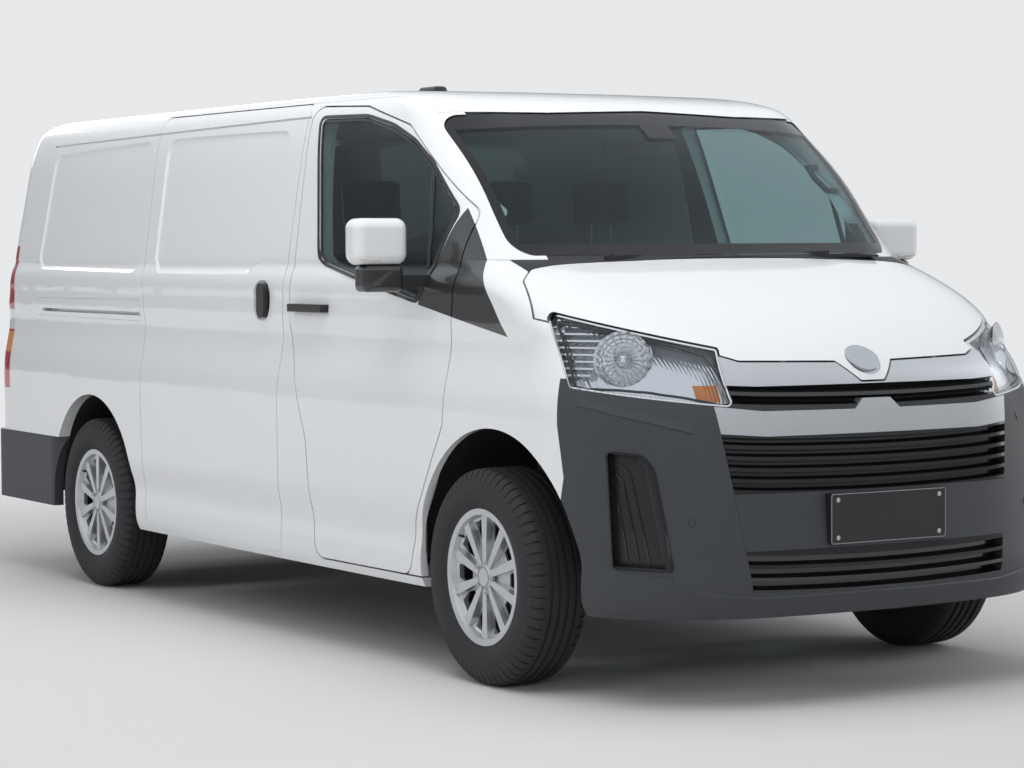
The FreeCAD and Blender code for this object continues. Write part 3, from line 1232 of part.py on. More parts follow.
def make_outer_trim():
    keep("cowl", biggest(THIN.common(cowl_block(0)).cut(BONNET_HOLE)))
    over_glass = skin(-14, -s("seat_gap"))
    wipers = []
    for x, reach in ((-470, 640), (100, 540)):
        low = COWL - 8
        blade = [(x + 60, low + 8), (x + reach, low + 10), (x + reach, low + 20), (x + 60, low + 20)]
        arm = [(x, low), (x + reach * 0.6, low + 18), (x + reach * 0.6, low + 32), (x, low + 18)]
        pivot = Part.makeCylinder(18, 1400, V(x, -2600, low + 9), V(0, 1, 0))
        space = front_prism(blade, 0, 0, -2200, -1200).fuse([front_prism(arm, 0, 0, -2200, -1200), pivot])
        space = space.cut(box(-1000, 1000, -2700, FRONT_AXLE - 62, 0, 2000))
        wipers.append(biggest(over_glass.common(space)))
    keep("wipers", Part.makeCompound(wipers))
    y = FRONT_AXLE + 425
    low = BELT + 10
    shell = Part.makeBox(200, 105, 155, V(980, y - 52, low + 90))
    shell = shell.makeFillet(36, shell.Edges)
    base = Part.makeBox(150, 84, 90, V(995, y - 42, low))
    base = base.makeFillet(20, base.Edges)
    arm = box(900, 1010, y - 30, y + 25, low + 15, low + 55)
    mirror = shell.fuse([base, arm]).removeSplitter()
    mirror = biggest(mirror.cut(envelope(-0.3)))
    keep("mirror_left", mirror)
    keep("mirror_right", other_side(mirror))
    handle = box(900, 990, DOOR_REAR - 295, DOOR_REAR - 40, CREASE + 78, CREASE + 106)
    handle = biggest(handle.cut(envelope(-0.3)).common(envelope(-32)))
    keep("handle_left", handle)
    keep("handle_right", other_side(handle))
    fin = Part.makeBox(60, 150, 90, V(-30, FRONT_AXLE + 1875, ROOF - 30))
    fin = fin.makeFillet(18, fin.Edges)
    keep("roof_aerial", biggest(fin.cut(envelope(-0.3))))
    glass = Part.makeBox(230, 28, 62, V(-115, FRONT_AXLE + 515, WINDOW_TOP - 124))
    glass = glass.makeFillet(12, glass.Edges)
    stalk = tube(V(0, FRONT_AXLE + 530, WINDOW_TOP - 92), V(0, -1, 0.35), 9, 300)
    stalk = stalk.common(envelope(s("glass_inset") + s("glass_thickness") + s("seat_gap")))
    keep("cab_mirror", glass.fuse(biggest(stalk)))
    back = s("front_housing_radius") - s("front_housing_shift")
    face = FRONT_AXLE + back + 4 - s("seat_gap")
    flap = box(745, 840, face - 6, face, 190, s("arch_centre_height") + 12)
    keep("mud_flaps", Part.makeCompound([flap, other_side(flap)]))
    middle = SILL + s("plate_centre_step")
    plate = front_prism([(-228, middle - 79), (228, middle - 79), (228, middle + 79), (-228, middle + 79)], 6, 0,
                        -s("body_length") / 2 + 2.5, -2500).cut(envelope(-0.9))
    screws = [tube(V(x, -2800, z), V(0, 1, 0), 3, 400) for x in (-s("plate_screw_x") / 2, s("plate_screw_x") / 2)
              for z in (SILL + s("plate_centre_step") - s("plate_screw_z") / 2,
                        SILL + s("plate_centre_step") + s("plate_screw_z") / 2)]
    keep("plate_holder", biggest(plate.cut(screws)))


make_bumper_and_floor()
make_liners()
make_wheels()
make_front_suspension()
make_rear_axle()
make_drive_line()
make_cab()
make_outer_trim()
make_body()
make_front()
make_doors()
make_tailgate()

doc.recompute()
for feature in PARTS:
    faulty = "Invalid" in feature.State or "Error" in feature.State
    if faulty or feature.Shape.isNull() or not feature.Shape.isValid():
        raise RuntimeError("%s is not sound" % feature.Label)

os.makedirs("parts", exist_ok=True)
for feature in PARTS:
    feature.Shape.exportStep("parts/%s.step" % feature.Label)
print(len(PARTS), "pieces")
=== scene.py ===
import math

import bmesh
import bpy
from mathutils import Matrix, Vector
from mathutils.bvhtree import BVHTree


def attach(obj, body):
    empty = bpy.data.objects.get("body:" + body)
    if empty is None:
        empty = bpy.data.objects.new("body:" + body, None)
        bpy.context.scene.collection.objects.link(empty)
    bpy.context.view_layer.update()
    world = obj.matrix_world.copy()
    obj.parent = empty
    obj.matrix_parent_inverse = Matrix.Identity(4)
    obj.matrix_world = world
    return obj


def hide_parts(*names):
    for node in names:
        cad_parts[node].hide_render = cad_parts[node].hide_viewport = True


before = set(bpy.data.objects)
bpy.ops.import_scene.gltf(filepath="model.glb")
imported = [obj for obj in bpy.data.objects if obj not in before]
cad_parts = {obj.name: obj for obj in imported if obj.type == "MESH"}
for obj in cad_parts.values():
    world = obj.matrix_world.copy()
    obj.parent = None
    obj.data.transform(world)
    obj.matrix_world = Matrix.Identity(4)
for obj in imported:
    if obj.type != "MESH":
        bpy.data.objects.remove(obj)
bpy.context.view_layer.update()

# The place where the van stands: a plain pale floor under soft lamps overhead and on all sides,
# seen from the right front corner at the height of a standing person's chest.
EYE = Vector((-5.512, -9.525, 1.427))
HEADING, DIP, TILT = math.radians(58.993), math.radians(-2.843), math.radians(-0.312)
LENS = 99.14
BACKDROP = (0.80, 0.81, 0.82, 1)
FLOOR_GREY = (0.62, 0.62, 0.62, 1)
FLOOR_HALF = 60
FADE_START, FADE_END = 3.4, 8.0
AIR_COLOUR, AIR_STRENGTH = (0.80, 0.83, 0.87, 1), 0.42
SKY_COLOUR = (0.86, 0.90, 0.95, 1)
SKY_LOW, SKY_HIGH = (0.02, 0.22), (0.45, 1.0)

scene = bpy.context.scene
scene.view_settings.view_transform = "Standard"
ahead = Vector((math.cos(DIP) * math.cos(HEADING), math.cos(DIP) * math.sin(HEADING), math.sin(DIP)))
level = Vector((math.sin(HEADING), -math.cos(HEADING), 0))
upright = level.cross(ahead)
across = math.cos(TILT) * level + math.sin(TILT) * upright
upward = math.cos(TILT) * upright - math.sin(TILT) * level
camera = bpy.data.objects.new("camera", bpy.data.cameras.new("camera"))
camera.data.sensor_width = 36
camera.data.lens = LENS
camera.data.clip_end = 100
camera.matrix_world = Matrix((
    (across.x, upward.x, -ahead.x, EYE.x),
    (across.y, upward.y, -ahead.y, EYE.y),
    (across.z, upward.z, -ahead.z, EYE.z),
    (0, 0, 0, 1)))
scene.collection.objects.link(camera)
scene.camera = camera


def node(tree, kind, inputs=(), **settings):
    """New node of a material; each input is a plain value or the output of another node."""
    made = tree.nodes.new("ShaderNode" + kind)
    for name, given in settings.items():
        setattr(made, name, given)
    for name, given in dict(inputs).items():
        if isinstance(given, bpy.types.NodeSocket):
            tree.links.new(given, made.inputs[name])
        else:
            made.inputs[name].default_value = given
    return made


def new_material(name):
    """New material with its node tree and its shader."""
    material = bpy.data.materials.new(name)
    material.use_nodes = True
    return material, material.node_tree, material.node_tree.nodes["Principled BSDF"]


def cover_with(material, layer):
    """The material's surface becomes this layer."""
    tree = material.node_tree
    tree.links.new(layer.outputs[0], tree.nodes["Material Output"].inputs["Surface"])


floor_paint, tree, shader = new_material("studio_floor")
for socket, given in (("Base Color", FLOOR_GREY), ("Roughness", 0.8), ("Specular IOR Level", 0.2)):
    shader.inputs[socket].default_value = given
away = node(tree, "VectorMath", {0: node(tree, "TexCoord").outputs["Object"]}, operation="LENGTH")
fade = node(tree, "MapRange", {"Value": away.outputs["Value"], "From Min": FADE_START, "From Max": FADE_END},
            interpolation_type="SMOOTHSTEP")
glow = node(tree, "Emission", {"Color": BACKDROP})
cover_with(floor_paint, node(tree, "MixShader", {"Fac": fade.outputs[0], 1: shader.outputs[0], 2: glow.outputs[0]}))
floor_mesh = bpy.data.meshes.new("studio_floor")
floor_corners = [(FLOOR_HALF * x, FLOOR_HALF * y, 0) for x, y in ((-1, -1), (1, -1), (1, 1), (-1, 1))]
floor_mesh.from_pydata(floor_corners, [], [(0, 1, 2, 3)])
floor_mesh.materials.append(floor_paint)
floor = bpy.data.objects.new("studio_floor", floor_mesh)
scene.collection.objects.link(floor)

scene.world = bpy.data.worlds.new("studio_air")
scene.world.use_nodes = True
air = scene.world.node_tree
light = air.nodes["Background"]
light.inputs["Color"].default_value = AIR_COLOUR
light.inputs["Strength"].default_value = AIR_STRENGTH
seen = node(air, "Background", {"Color": BACKDROP, "Strength": 1})
height = node(air, "SeparateXYZ", {0: node(air, "TexCoord").outputs["Generated"]})
rise = node(air, "MapRange", {"Value": height.outputs["Z"], "From Min": SKY_LOW[0], "To Min": SKY_LOW[1],
                              "From Max": SKY_HIGH[0], "To Max": SKY_HIGH[1]}, interpolation_type="SMOOTHSTEP")
mirrored = node(air, "Background", {"Color": SKY_COLOUR, "Strength": rise.outputs[0]})
rays = node(air, "LightPath").outputs
plain = node(air, "MixShader", {"Fac": rays["Is Camera Ray"], 1: light.outputs[0], 2: seen.outputs[0]})
whole = node(air, "MixShader", {"Fac": rays["Is Glossy Ray"], 1: plain.outputs[0], 2: mirrored.outputs[0]})
air.links.new(whole.outputs[0], air.nodes["World Output"].inputs["Surface"])


def softbox(name, place, aim, size, power, glossy=True):
    """Large soft lamp that faces the van."""
    lamp = bpy.data.lights.new(name, "AREA")
    lamp.shape = "RECTANGLE"
    lamp.size, lamp.size_y = size
    lamp.energy = power
    holder = bpy.data.objects.new(name, lamp)
    holder.location = place
    holder.rotation_euler = (Vector(aim) - Vector(place)).to_track_quat("-Z", "Y").to_euler()
    holder.visible_glossy = glossy
    scene.collection.objects.link(holder)


softbox("lamp_over", (-1.0, -1.5, 6.0), (0, 0, 1), (3.5, 8.0), 285, False)
softbox("lamp_side", (-8.0, 0.5, 3.6), (0, 0, 1), (2.4, 8.0), 185, False)
softbox("lamp_front", (-3.0, -9.5, 3.2), (0, -1, 1), (5.0, 1.8), 130, False)
softbox("lamp_far", (7.5, -3.0, 3.5), (0, 0, 1), (3.0, 6.0), 100)
softbox("lamp_rear", (1.0, 8.5, 3.5), (0, 1, 1), (5.0, 2.0), 110)

# Chassis: two box-section rails with cross members, leaf springs, struts, rear axle and shaft.
# Welded and forged steel, dipped in black paint that has dulled and picked up a little dust.
SHARP_FOLD = math.radians(28)
WELD = 0.0001


def value(tree, operation, *inputs):
    """One step of arithmetic in a material; inputs are numbers or other steps."""
    return node(tree, "Math", dict(enumerate(inputs)), operation=operation).outputs[0]


def finish(name, colour, rough, metal=0.0, coat=0.0, grain=0.0, grain_size=400, mottle=0.0, mottle_size=6,
           rough_change=0.04):
    """Material with a fine surface grain and faint changes of colour and shine over the piece."""
    material, tree, shader = new_material(name)
    for socket, given in (("Metallic", metal), ("Coat Weight", coat), ("Coat Roughness", 0.03)):
        shader.inputs[socket].default_value = given
    place = node(tree, "TexCoord").outputs["Object"]
    patches = node(tree, "TexNoise", {"Vector": place, "Scale": mottle_size, "Detail": 5}).outputs["Fac"]
    darker = (*[part * (1 - mottle) for part in colour], 1)
    paler = (*[min(1, part * (1 + mottle)) for part in colour], 1)
    tint = node(tree, "Mix", {"Factor": patches, "A": darker, "B": paler}, data_type="RGBA")
    tree.links.new(tint.outputs["Result"], shader.inputs["Base Color"])
    shine = value(tree, "MULTIPLY_ADD", patches, 2 * rough_change, rough - rough_change)
    tree.links.new(shine, shader.inputs["Roughness"])
    if grain:
        speckle = node(tree, "TexNoise", {"Vector": place, "Scale": grain_size, "Detail": 3})
        bump = node(tree, "Bump", {"Height": speckle.outputs["Fac"], "Strength": grain, "Distance": 0.001})
        tree.links.new(bump.outputs["Normal"], shader.inputs["Normal"])
    return material


def smoothed_by_angle():
    """Steps for a pressed or moulded shape: its vertices meet, and only its real edges stay sharp."""
    steps = bpy.data.node_groups.new("smoothed_shape", "GeometryNodeTree")
    steps.interface.new_socket("Geometry", in_out="INPUT", socket_type="NodeSocketGeometry")
    steps.interface.new_socket("Geometry", in_out="OUTPUT", socket_type="NodeSocketGeometry")
    begin = steps.nodes.new("NodeGroupInput")
    end = steps.nodes.new("NodeGroupOutput")
    weld = steps.nodes.new("GeometryNodeMergeByDistance")
    weld.inputs["Distance"].default_value = WELD
    angle = steps.nodes.new("GeometryNodeInputMeshEdgeAngle")
    sharp = steps.nodes.new("FunctionNodeCompare")
    sharp.data_type = "FLOAT"
    sharp.operation = "LESS_THAN"
    sharp.inputs["B"].default_value = SHARP_FOLD
    faces = steps.nodes.new("GeometryNodeSetShadeSmooth")
    faces.domain = "FACE"
    edges = steps.nodes.new("GeometryNodeSetShadeSmooth")
    edges.domain = "EDGE"
    join = steps.links.new
    join(begin.outputs[0], weld.inputs["Geometry"])
    join(weld.outputs["Geometry"], faces.inputs["Geometry"])
    join(faces.outputs["Geometry"], edges.inputs["Geometry"])
    join(angle.outputs["Unsigned Angle"], sharp.inputs["A"])
    join(sharp.outputs["Result"], edges.inputs["Shade Smooth"])
    join(edges.outputs["Geometry"], end.inputs[0])
    return steps


SMOOTHED = smoothed_by_angle()


def dress(material, *names):
    """The CAD nodes get this finish, with smooth curves between their real edges."""
    for name in names:
        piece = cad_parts[name]
        piece.data.materials.clear()
        piece.data.materials.append(material)
        piece.modifiers.new("smoothed", "NODES").node_group = SMOOTHED
        evened = piece.modifiers.new("evened", "WEIGHTED_NORMAL")
        evened.keep_sharp = True
        evened.weight = 60


black_steel = finish("black_steel", (0.030, 0.030, 0.032), 0.5, coat=0.1, grain=0.12, mottle=0.25)
dress(black_steel, "chassis_frame", "leaf_springs", "rear_axle", "front_suspension", "propeller_shaft")

# Steering knuckles with their hubs and brake discs: cast iron, machined where the discs run and
# left bare, so they carry a thin brown film.
cast_iron = finish("cast_iron", (0.22, 0.20, 0.185), 0.55, metal=0.85, grain=0.4, mottle=0.18, mottle_size=30)
dress(cast_iron, "knuckle_left", "knuckle_right")

# Engine and gearbox: one block of cast aluminium, sand-cast and dull, bolted between the rails
# under the cab floor.
dress(finish("cast_aluminium", (0.34, 0.34, 0.34), 0.55, metal=0.8, grain=0.5, mottle=0.15), "engine")

# Exhaust: bent and welded steel pipe with a rolled silencer, browned near the engine and hung
# below the floor.
dress(finish("exhaust_steel", (0.33, 0.30, 0.27), 0.42, metal=0.9, grain=0.1, mottle=0.25, mottle_size=3), "exhaust")

# Tank, wheel housings and mud flaps: black blow-moulded and pressed plastic with a dull skin,
# clipped and screwed under the body.
liner = finish("liner_plastic", (0.014, 0.014, 0.015), 0.72, grain=0.4, grain_size=500, mottle=0.15)
dress(liner, "fuel_tank", "wheel_housings", "mud_flaps")

# Load floor and toe board: steel sheet under a black mat of moulded rubber, with low ribs along
# it, laid loose and held by its weight.
MAT_PITCH = 0.03


def ribbed(material, pitch, axis, depth=0.0012, sharpness=4.0):
    """Straight raised ribs across a surface, added to its grain."""
    tree = material.node_tree
    split = node(tree, "SeparateXYZ", {0: node(tree, "TexCoord").outputs["Object"]})
    wave = value(tree, "SINE", value(tree, "MULTIPLY", split.outputs[axis], 2 * math.pi / pitch))
    height = value(tree, "POWER", value(tree, "MULTIPLY_ADD", wave, 0.5, 0.5), sharpness)
    bump = node(tree, "Bump", {"Height": height, "Distance": depth})
    normal = tree.nodes["Principled BSDF"].inputs["Normal"]
    if normal.links:
        tree.links.new(normal.links[0].from_socket, bump.inputs["Normal"])
    tree.links.new(bump.outputs["Normal"], normal)
    return material


mat_rubber = finish("mat_rubber", (0.030, 0.030, 0.031), 0.7, grain=0.3, grain_size=500, mottle=0.12)
dress(ribbed(mat_rubber, MAT_PITCH, 0), "load_floor", "toe_board")

# Tyres: 215-wide radial road tyres with four grooves round the tread and cuts across both
# shoulders, moulded from black rubber and seated on the rims by their beads.
FRONT_AXLE, REAR_AXLE = -1.7075, 1.5025
FRONT_HALF, REAR_HALF = 0.8375, 0.835
AXLES = {"fl": (FRONT_HALF, FRONT_AXLE), "fr": (-FRONT_HALF, FRONT_AXLE),
         "rl": (REAR_HALF, REAR_AXLE), "rr": (-REAR_HALF, REAR_AXLE)}
AXLE_HEIGHT = 0.353


def mesh_piece(name, points, faces, material, body=None, sharp_angle=35):
    """New piece from points and faces, with smooth curves between its sharp edges."""
    mesh = bpy.data.meshes.new(name)
    mesh.from_pydata([tuple(point) for point in points], [], faces)
    mesh.validate()
    mesh.materials.append(material)
    mesh.shade_smooth()
    mesh.set_sharp_from_angle(angle=math.radians(sharp_angle))
    piece = bpy.data.objects.new(name, mesh)
    scene.collection.objects.link(piece)
    if body:
        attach(piece, body)
    return piece


def turned(section, angles, lift=None):
    """Closed ring about the X axis from a closed (x, r) section; lift changes r at one angle."""
    points, faces = [], []
    count = len(section)
    for step, angle in enumerate(angles):
        for index, (x, r) in enumerate(section):
            reach = r + (lift(step, x, r) if lift else 0)
            points.append((x, reach * math.cos(angle), reach * math.sin(angle)))
            beyond = (index + 1) % count
            next_step = (step + 1) % len(angles)
            faces.append((step * count + index, step * count + beyond,
                          next_step * count + beyond, next_step * count + index))
    return points, faces


def tyre_section():
    """Outline of the tyre, from the inner bead over the tread to the outer bead."""
    tread_top = [(0.086, 0.3455), (0.082, 0.3488), (0.072, 0.3512), (0.060, 0.3522)]
    grooves = []
    for middle, width in ((0.0455, 0.010), (0.0150, 0.010)):
        grooves += [(middle + width / 2 + 0.001, 0.3526), (middle + width / 2 - 0.001, 0.3455),
                    (middle - width / 2 + 0.001, 0.3455), (middle - width / 2 - 0.001, 0.3526)]
    side = [(0.0862, 0.2126), (0.0905, 0.2160), (0.0945, 0.2260), (0.0990, 0.2420), (0.1015, 0.2445),
            (0.1040, 0.2520), (0.1066, 0.2680), (0.1073, 0.2800), (0.1070, 0.2920), (0.1064, 0.2935),
            (0.1052, 0.3060), (0.1030, 0.3180), (0.1022, 0.3200), (0.0985, 0.3300), (0.0930, 0.3390)]
    half = side + tread_top + grooves
    return half + [(-x, r) for x, r in half[::-1]]


PITCHES = 62
CUTS = (0.0, 0.03, 0.17, 0.20, 0.60)
CUT_DEPTH = 0.006


def shoulder_cut(step, x, r):
    """Cuts across the shoulder blocks."""
    in_cut = step % len(CUTS) in (1, 2)
    return -CUT_DEPTH if in_cut and 0.060 < abs(x) < 0.1035 and r > 0.312 else 0


rubber = finish("tyre_rubber", (0.020, 0.020, 0.021), 0.72, grain=0.25, grain_size=700, mottle=0.2, mottle_size=14)
turns = [2 * math.pi * (pitch + cut) / PITCHES for pitch in range(PITCHES) for cut in CUTS]
tyre_points, tyre_faces = turned(tyre_section(), turns, shoulder_cut)
for corner, (x, y) in AXLES.items():
    side = 1 if x > 0 else -1
    placed = [(x + side * point[0], y + side * point[1], AXLE_HEIGHT + point[2]) for point in tyre_points]
    tyre = mesh_piece("road_tyre_" + corner, placed, tyre_faces, rubber, "wheel_" + corner, 40)
    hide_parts("tyre_" + corner)
spare_rubber = ribbed(finish("spare_rubber", (0.02, 0.02, 0.021), 0.75, grain=0.2, mottle=0.2), 0.03, 2, 0.003)
dress(spare_rubber, "spare_wheel")

# Wheels: black steel rims behind silver plastic covers with ten spokes, a plain centre cap and
# the ends of five wheel nuts, held by spring clips behind the rim's edge.


def zone(material, colour, rough, metal, box=None, ball=None, inward=None, corners=(), from_front=False):
    """Part of a piece in its own colour: in a box or ball, facing inwards, or between corners in a view."""
    tree = material.node_tree
    place = node(tree, "TexCoord").outputs
    split = node(tree, "SeparateXYZ", {0: place["Object"]}).outputs
    x = value(tree, "ABSOLUTE", split[0])
    mask = 1.0
    if ball:
        near, radius = ball
        parts = [value(tree, "POWER", value(tree, "SUBTRACT", part, at), 2)
                 for part, at in zip((x, split[1], split[2]), near)]
        reach = value(tree, "ADD", value(tree, "ADD", parts[0], parts[1]), parts[2])
        mask = value(tree, "LESS_THAN", reach, radius ** 2)
    for part, limits in zip((x, split[1], split[2]), box or ()):
        if limits:
            middle, reach = (limits[0] + limits[1]) / 2, (limits[1] - limits[0]) / 2
            mask = value(tree, "MULTIPLY", mask, value(tree, "COMPARE", part, middle, reach))
    across = x if from_front else split[1]
    for (a, b), (c, d) in zip(corners, corners[1:] + corners[:1]):
        edge = value(tree, "ADD", value(tree, "MULTIPLY", across, b - d), value(tree, "MULTIPLY", split[2], c - a))
        mask = value(tree, "MULTIPLY", mask, value(tree, "GREATER_THAN", edge, a * (b - d) + b * (c - a)))
    if inward:
        facing = node(tree, "SeparateXYZ", {0: place["Normal"]}).outputs
        outward = value(tree, "MULTIPLY", facing[0], value(tree, "SIGN", split[0]))
        mask = value(tree, "MULTIPLY", mask, value(tree, "LESS_THAN", outward, inward))
    shader = tree.nodes["Principled BSDF"]
    for socket, given in (("Base Color", (*colour, 1)), ("Roughness", rough), ("Metallic", metal)):
        pin = shader.inputs[socket]
        before = pin.links[0].from_socket if pin.links else pin.default_value
        mix = node(tree, "Mix", {"Factor": mask, "A": before, "B": given},
                   data_type="RGBA" if socket == "Base Color" else "FLOAT")
        tree.links.new(mix.outputs["Result"], pin)
    return material


wheel_silver = finish("wheel_silver", (0.55, 0.56, 0.58), 0.30, metal=0.65, coat=0.3, grain=0.03, mottle=0.02)
zone(wheel_silver, (0.010, 0.010, 0.011), 0.6, 0.1, box=((0.60, 0.889), None, None))
dress(wheel_silver, "wheel_fl", "wheel_fr", "wheel_rl", "wheel_rr")


def bands(rings, sides):
    """Faces between closed rings of points, ring after ring."""
    return [(ring * sides + turn, ring * sides + (turn + 1) % sides,
             (ring + 1) * sides + (turn + 1) % sides, (ring + 1) * sides + turn)
            for ring in range(rings - 1) for turn in range(sides)]


def button(name, foot, axis, outline, material, body, sides=32):
    """Small turned piece on a surface; its outline is (radius, height) from the foot to the middle."""
    axis = Vector(axis).normalized()
    first = axis.orthogonal().normalized()
    second = axis.cross(first)
    points = []
    for radius, height in outline:
        for turn in range(sides):
            angle = 2 * math.pi * turn / sides
            spread = math.cos(angle) * first + math.sin(angle) * second
            points.append(Vector(foot) + axis * height + spread * radius)
    top = tuple(range((len(outline) - 1) * sides, len(outline) * sides))
    return mesh_piece(name, points, bands(len(outline), sides) + [top], material, body, sharp_angle=30)


NUT = [(0.0085, 0), (0.0085, 0.008), (0.0072, 0.0095), (0.0045, 0.0095), (0.004, 0.006)]
NUT_CIRCLE, NUT_OUT, CAP_OUT = 0.052, 0.081, 0.0878
CAP_RING = [(0.0345, 0.0), (0.0345, 0.0012), (0.0325, 0.0018), (0.0300, 0.0012), (0.0295, 0.0)]
STEM = [(0.0045, 0), (0.0045, 0.014), (0.0036, 0.0145), (0.0036, 0.022), (0.0028, 0.0235)]
zinc = finish("zinc_plate", (0.55, 0.55, 0.53), 0.35, metal=0.9, grain=0.05, mottle=0.06, mottle_size=60)
ring_grey = finish("cap_ring", (0.30, 0.31, 0.32), 0.35, metal=0.6, mottle=0.04)
for corner, (x, y) in AXLES.items():
    side = 1 if x > 0 else -1
    for stud in range(1, 10, 2):
        angle = math.radians(36 * stud + 18)
        foot = (x + side * NUT_OUT, y + NUT_CIRCLE * math.sin(angle), AXLE_HEIGHT + NUT_CIRCLE * math.cos(angle))
        button("wheel_nut_%s_%d" % (corner, stud), foot, (side, 0, 0), NUT, zinc, "wheel_" + corner, 6)
    button("cap_ring_" + corner, (x + side * CAP_OUT, y, AXLE_HEIGHT), (side, 0, 0), CAP_RING, ring_grey,
           "wheel_" + corner, 48)
    button("valve_" + corner, (x + side * 0.066, y + 0.150, AXLE_HEIGHT + 0.117), (side, 0.25, 0.2), STEM, liner,
           "wheel_" + corner, 12)

# Body shell: pressed steel panels welded together, primed and sprayed gloss white in one pass, with
# a clear coat that leaves a very slight ripple.
WHITE = (0.70, 0.71, 0.72)


def white_paint(name):
    """Gloss white paint under a clear coat."""
    return finish(name, WHITE, 0.36, coat=1.0, grain=0.012, grain_size=260, mottle=0.006, rough_change=0.02)


SAIL = [(-1.8220, 1.1300), (-1.2620, 1.2260), (-1.4370, 1.5480)]
SAIL_BLACK = (0.016, 0.017, 0.018)
body_paint = white_paint("body_paint")
dress(body_paint, "roof", "slide_rail")
pillar_paint = zone(white_paint("pillar_paint"), SAIL_BLACK, 0.35, 0, corners=SAIL)
dress(pillar_paint, "side_left", "side_right", "front_wings")

# Doors and tailgate: an outer skin hemmed round a pressed inner frame, painted with the body; on the
# inside of each door a moulded dark grey trim panel is clipped over the frame.
TRIM_GREY = (0.045, 0.047, 0.050)
door_paint = zone(white_paint("door_paint"), TRIM_GREY, 0.62, 0, inward=-0.5)
dress(door_paint, "sliding_door")
front_door_paint = zone(white_paint("front_door_paint"), SAIL_BLACK, 0.35, 0, corners=SAIL)
zone(front_door_paint, TRIM_GREY, 0.62, 0, inward=-0.5)
dress(front_door_paint, "door_left", "door_right")
dress(white_paint("gate_paint"), "tailgate")

# Bonnet: one double-skinned pressing with the body's paint; a plain satin disc is let in at its
# front edge where such vans carry a badge.
DISC, DISC_SILVER = ((0, -2.50, 1.063), 0.0625), (0.45, 0.47, 0.50)
dress(zone(white_paint("bonnet_paint"), DISC_SILVER, 0.15, 0.95, ball=DISC), "bonnet")

# Windows: laminated and toughened glass with a green tint, bonded in; the windscreen has a band of
# black ceramic print round its edge that hides the glue.


def tinted_glass(name, tint, face_shine=0.03):
    """Thin glass that shows what lies behind it, darkened by its tint, with a sharp reflection."""
    material, tree, shader = new_material(name)
    tree.nodes.remove(shader)
    waves = node(tree, "TexNoise", {"Vector": node(tree, "TexCoord").outputs["Object"], "Scale": 2.5})
    bump = node(tree, "Bump", {"Height": waves.outputs["Fac"], "Strength": 0.03, "Distance": 0.01})
    through = node(tree, "BsdfTransparent", {"Color": (*tint, 1)})
    mirror = node(tree, "BsdfGlossy", {"Roughness": 0.015, "Normal": bump.outputs["Normal"]})
    slant = value(tree, "POWER", node(tree, "LayerWeight", {"Blend": 0.5}).outputs["Facing"], 4)
    shine = value(tree, "MULTIPLY_ADD", slant, 0.5, face_shine)
    cover_with(material, node(tree, "MixShader", {"Fac": shine, 1: through.outputs[0], 2: mirror.outputs[0]}))
    return material


PRINT_HALF, PRINT_DROP, PRINT_TOP = 0.76, 0.026, 1.838
PRINT_LOW, PRINT_SIDE = 1.425, 0.737
MIRROR_PATCH = 0.06, 1.79
dress(tinted_glass("side_glass", (0.60, 0.67, 0.67)), "door_left_glass", "door_right_glass", "tailgate_glass")
screen_glass = tinted_glass("screen_glass", (0.68, 0.79, 0.80))
tree = screen_glass.node_tree
clear = tree.nodes["Material Output"].inputs["Surface"].links[0].from_socket
split = node(tree, "SeparateXYZ", {0: node(tree, "TexCoord").outputs["Object"]})
rise, width = split.outputs[2], value(tree, "ABSOLUTE", split.outputs[0])
share = value(tree, "DIVIDE", width, PRINT_HALF)
arch = value(tree, "MULTIPLY_ADD", value(tree, "POWER", share, 2), -PRINT_DROP, PRINT_TOP)
band = value(tree, "MAXIMUM", value(tree, "GREATER_THAN", rise, arch), value(tree, "LESS_THAN", rise, PRINT_LOW))
band = value(tree, "MAXIMUM", band, value(tree, "GREATER_THAN", width, PRINT_SIDE))
patch = value(tree, "MULTIPLY", value(tree, "LESS_THAN", width, MIRROR_PATCH[0]),
              value(tree, "GREATER_THAN", rise, MIRROR_PATCH[1]))
band = value(tree, "MAXIMUM", band, patch)
ink = node(tree, "BsdfPrincipled", {"Base Color": (0.006, 0.006, 0.007, 1), "Roughness": 0.06})
cover_with(screen_glass, node(tree, "MixShader", {"Fac": band, 1: clear, 2: ink.outputs[0]}))
dress(screen_glass, "windscreen")

# Window seals: extruded black rubber pushed over the edge of each opening, with a second glossy
# lip against the glass and a plain bar between the sliding pane and the fixed quarter.
seal_rubber = finish("seal_rubber", (0.008, 0.008, 0.009), 0.22, coat=0.3, grain=0.02, mottle=0.1)


def skin(*names):
    """Surface of these CAD nodes, for laying thin pieces on it."""
    points, faces = [], []
    for name in names:
        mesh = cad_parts[name].data
        start = len(points)
        points += [vertex.co.copy() for vertex in mesh.vertices]
        faces += [[start + index for index in polygon.vertices] for polygon in mesh.polygons]
    return BVHTree.FromPolygons(points, faces)


def rounded(outline, radius=0.03):
    """The closed outline with its corners rounded, each over this distance along both edges."""
    smooth = []
    for index, corner in enumerate(outline):
        corner = Vector(corner)
        before, after = Vector(outline[index - 1]), Vector(outline[(index + 1) % len(outline)])
        start = corner + (before - corner).normalized() * min(radius, (before - corner).length * 0.45)
        end = corner + (after - corner).normalized() * min(radius, (after - corner).length * 0.45)
        for part in (0, 0.25, 0.5, 0.75, 1):
            smooth.append(tuple(start.lerp(corner, part).lerp(corner.lerp(end, part), part)))
    return smooth


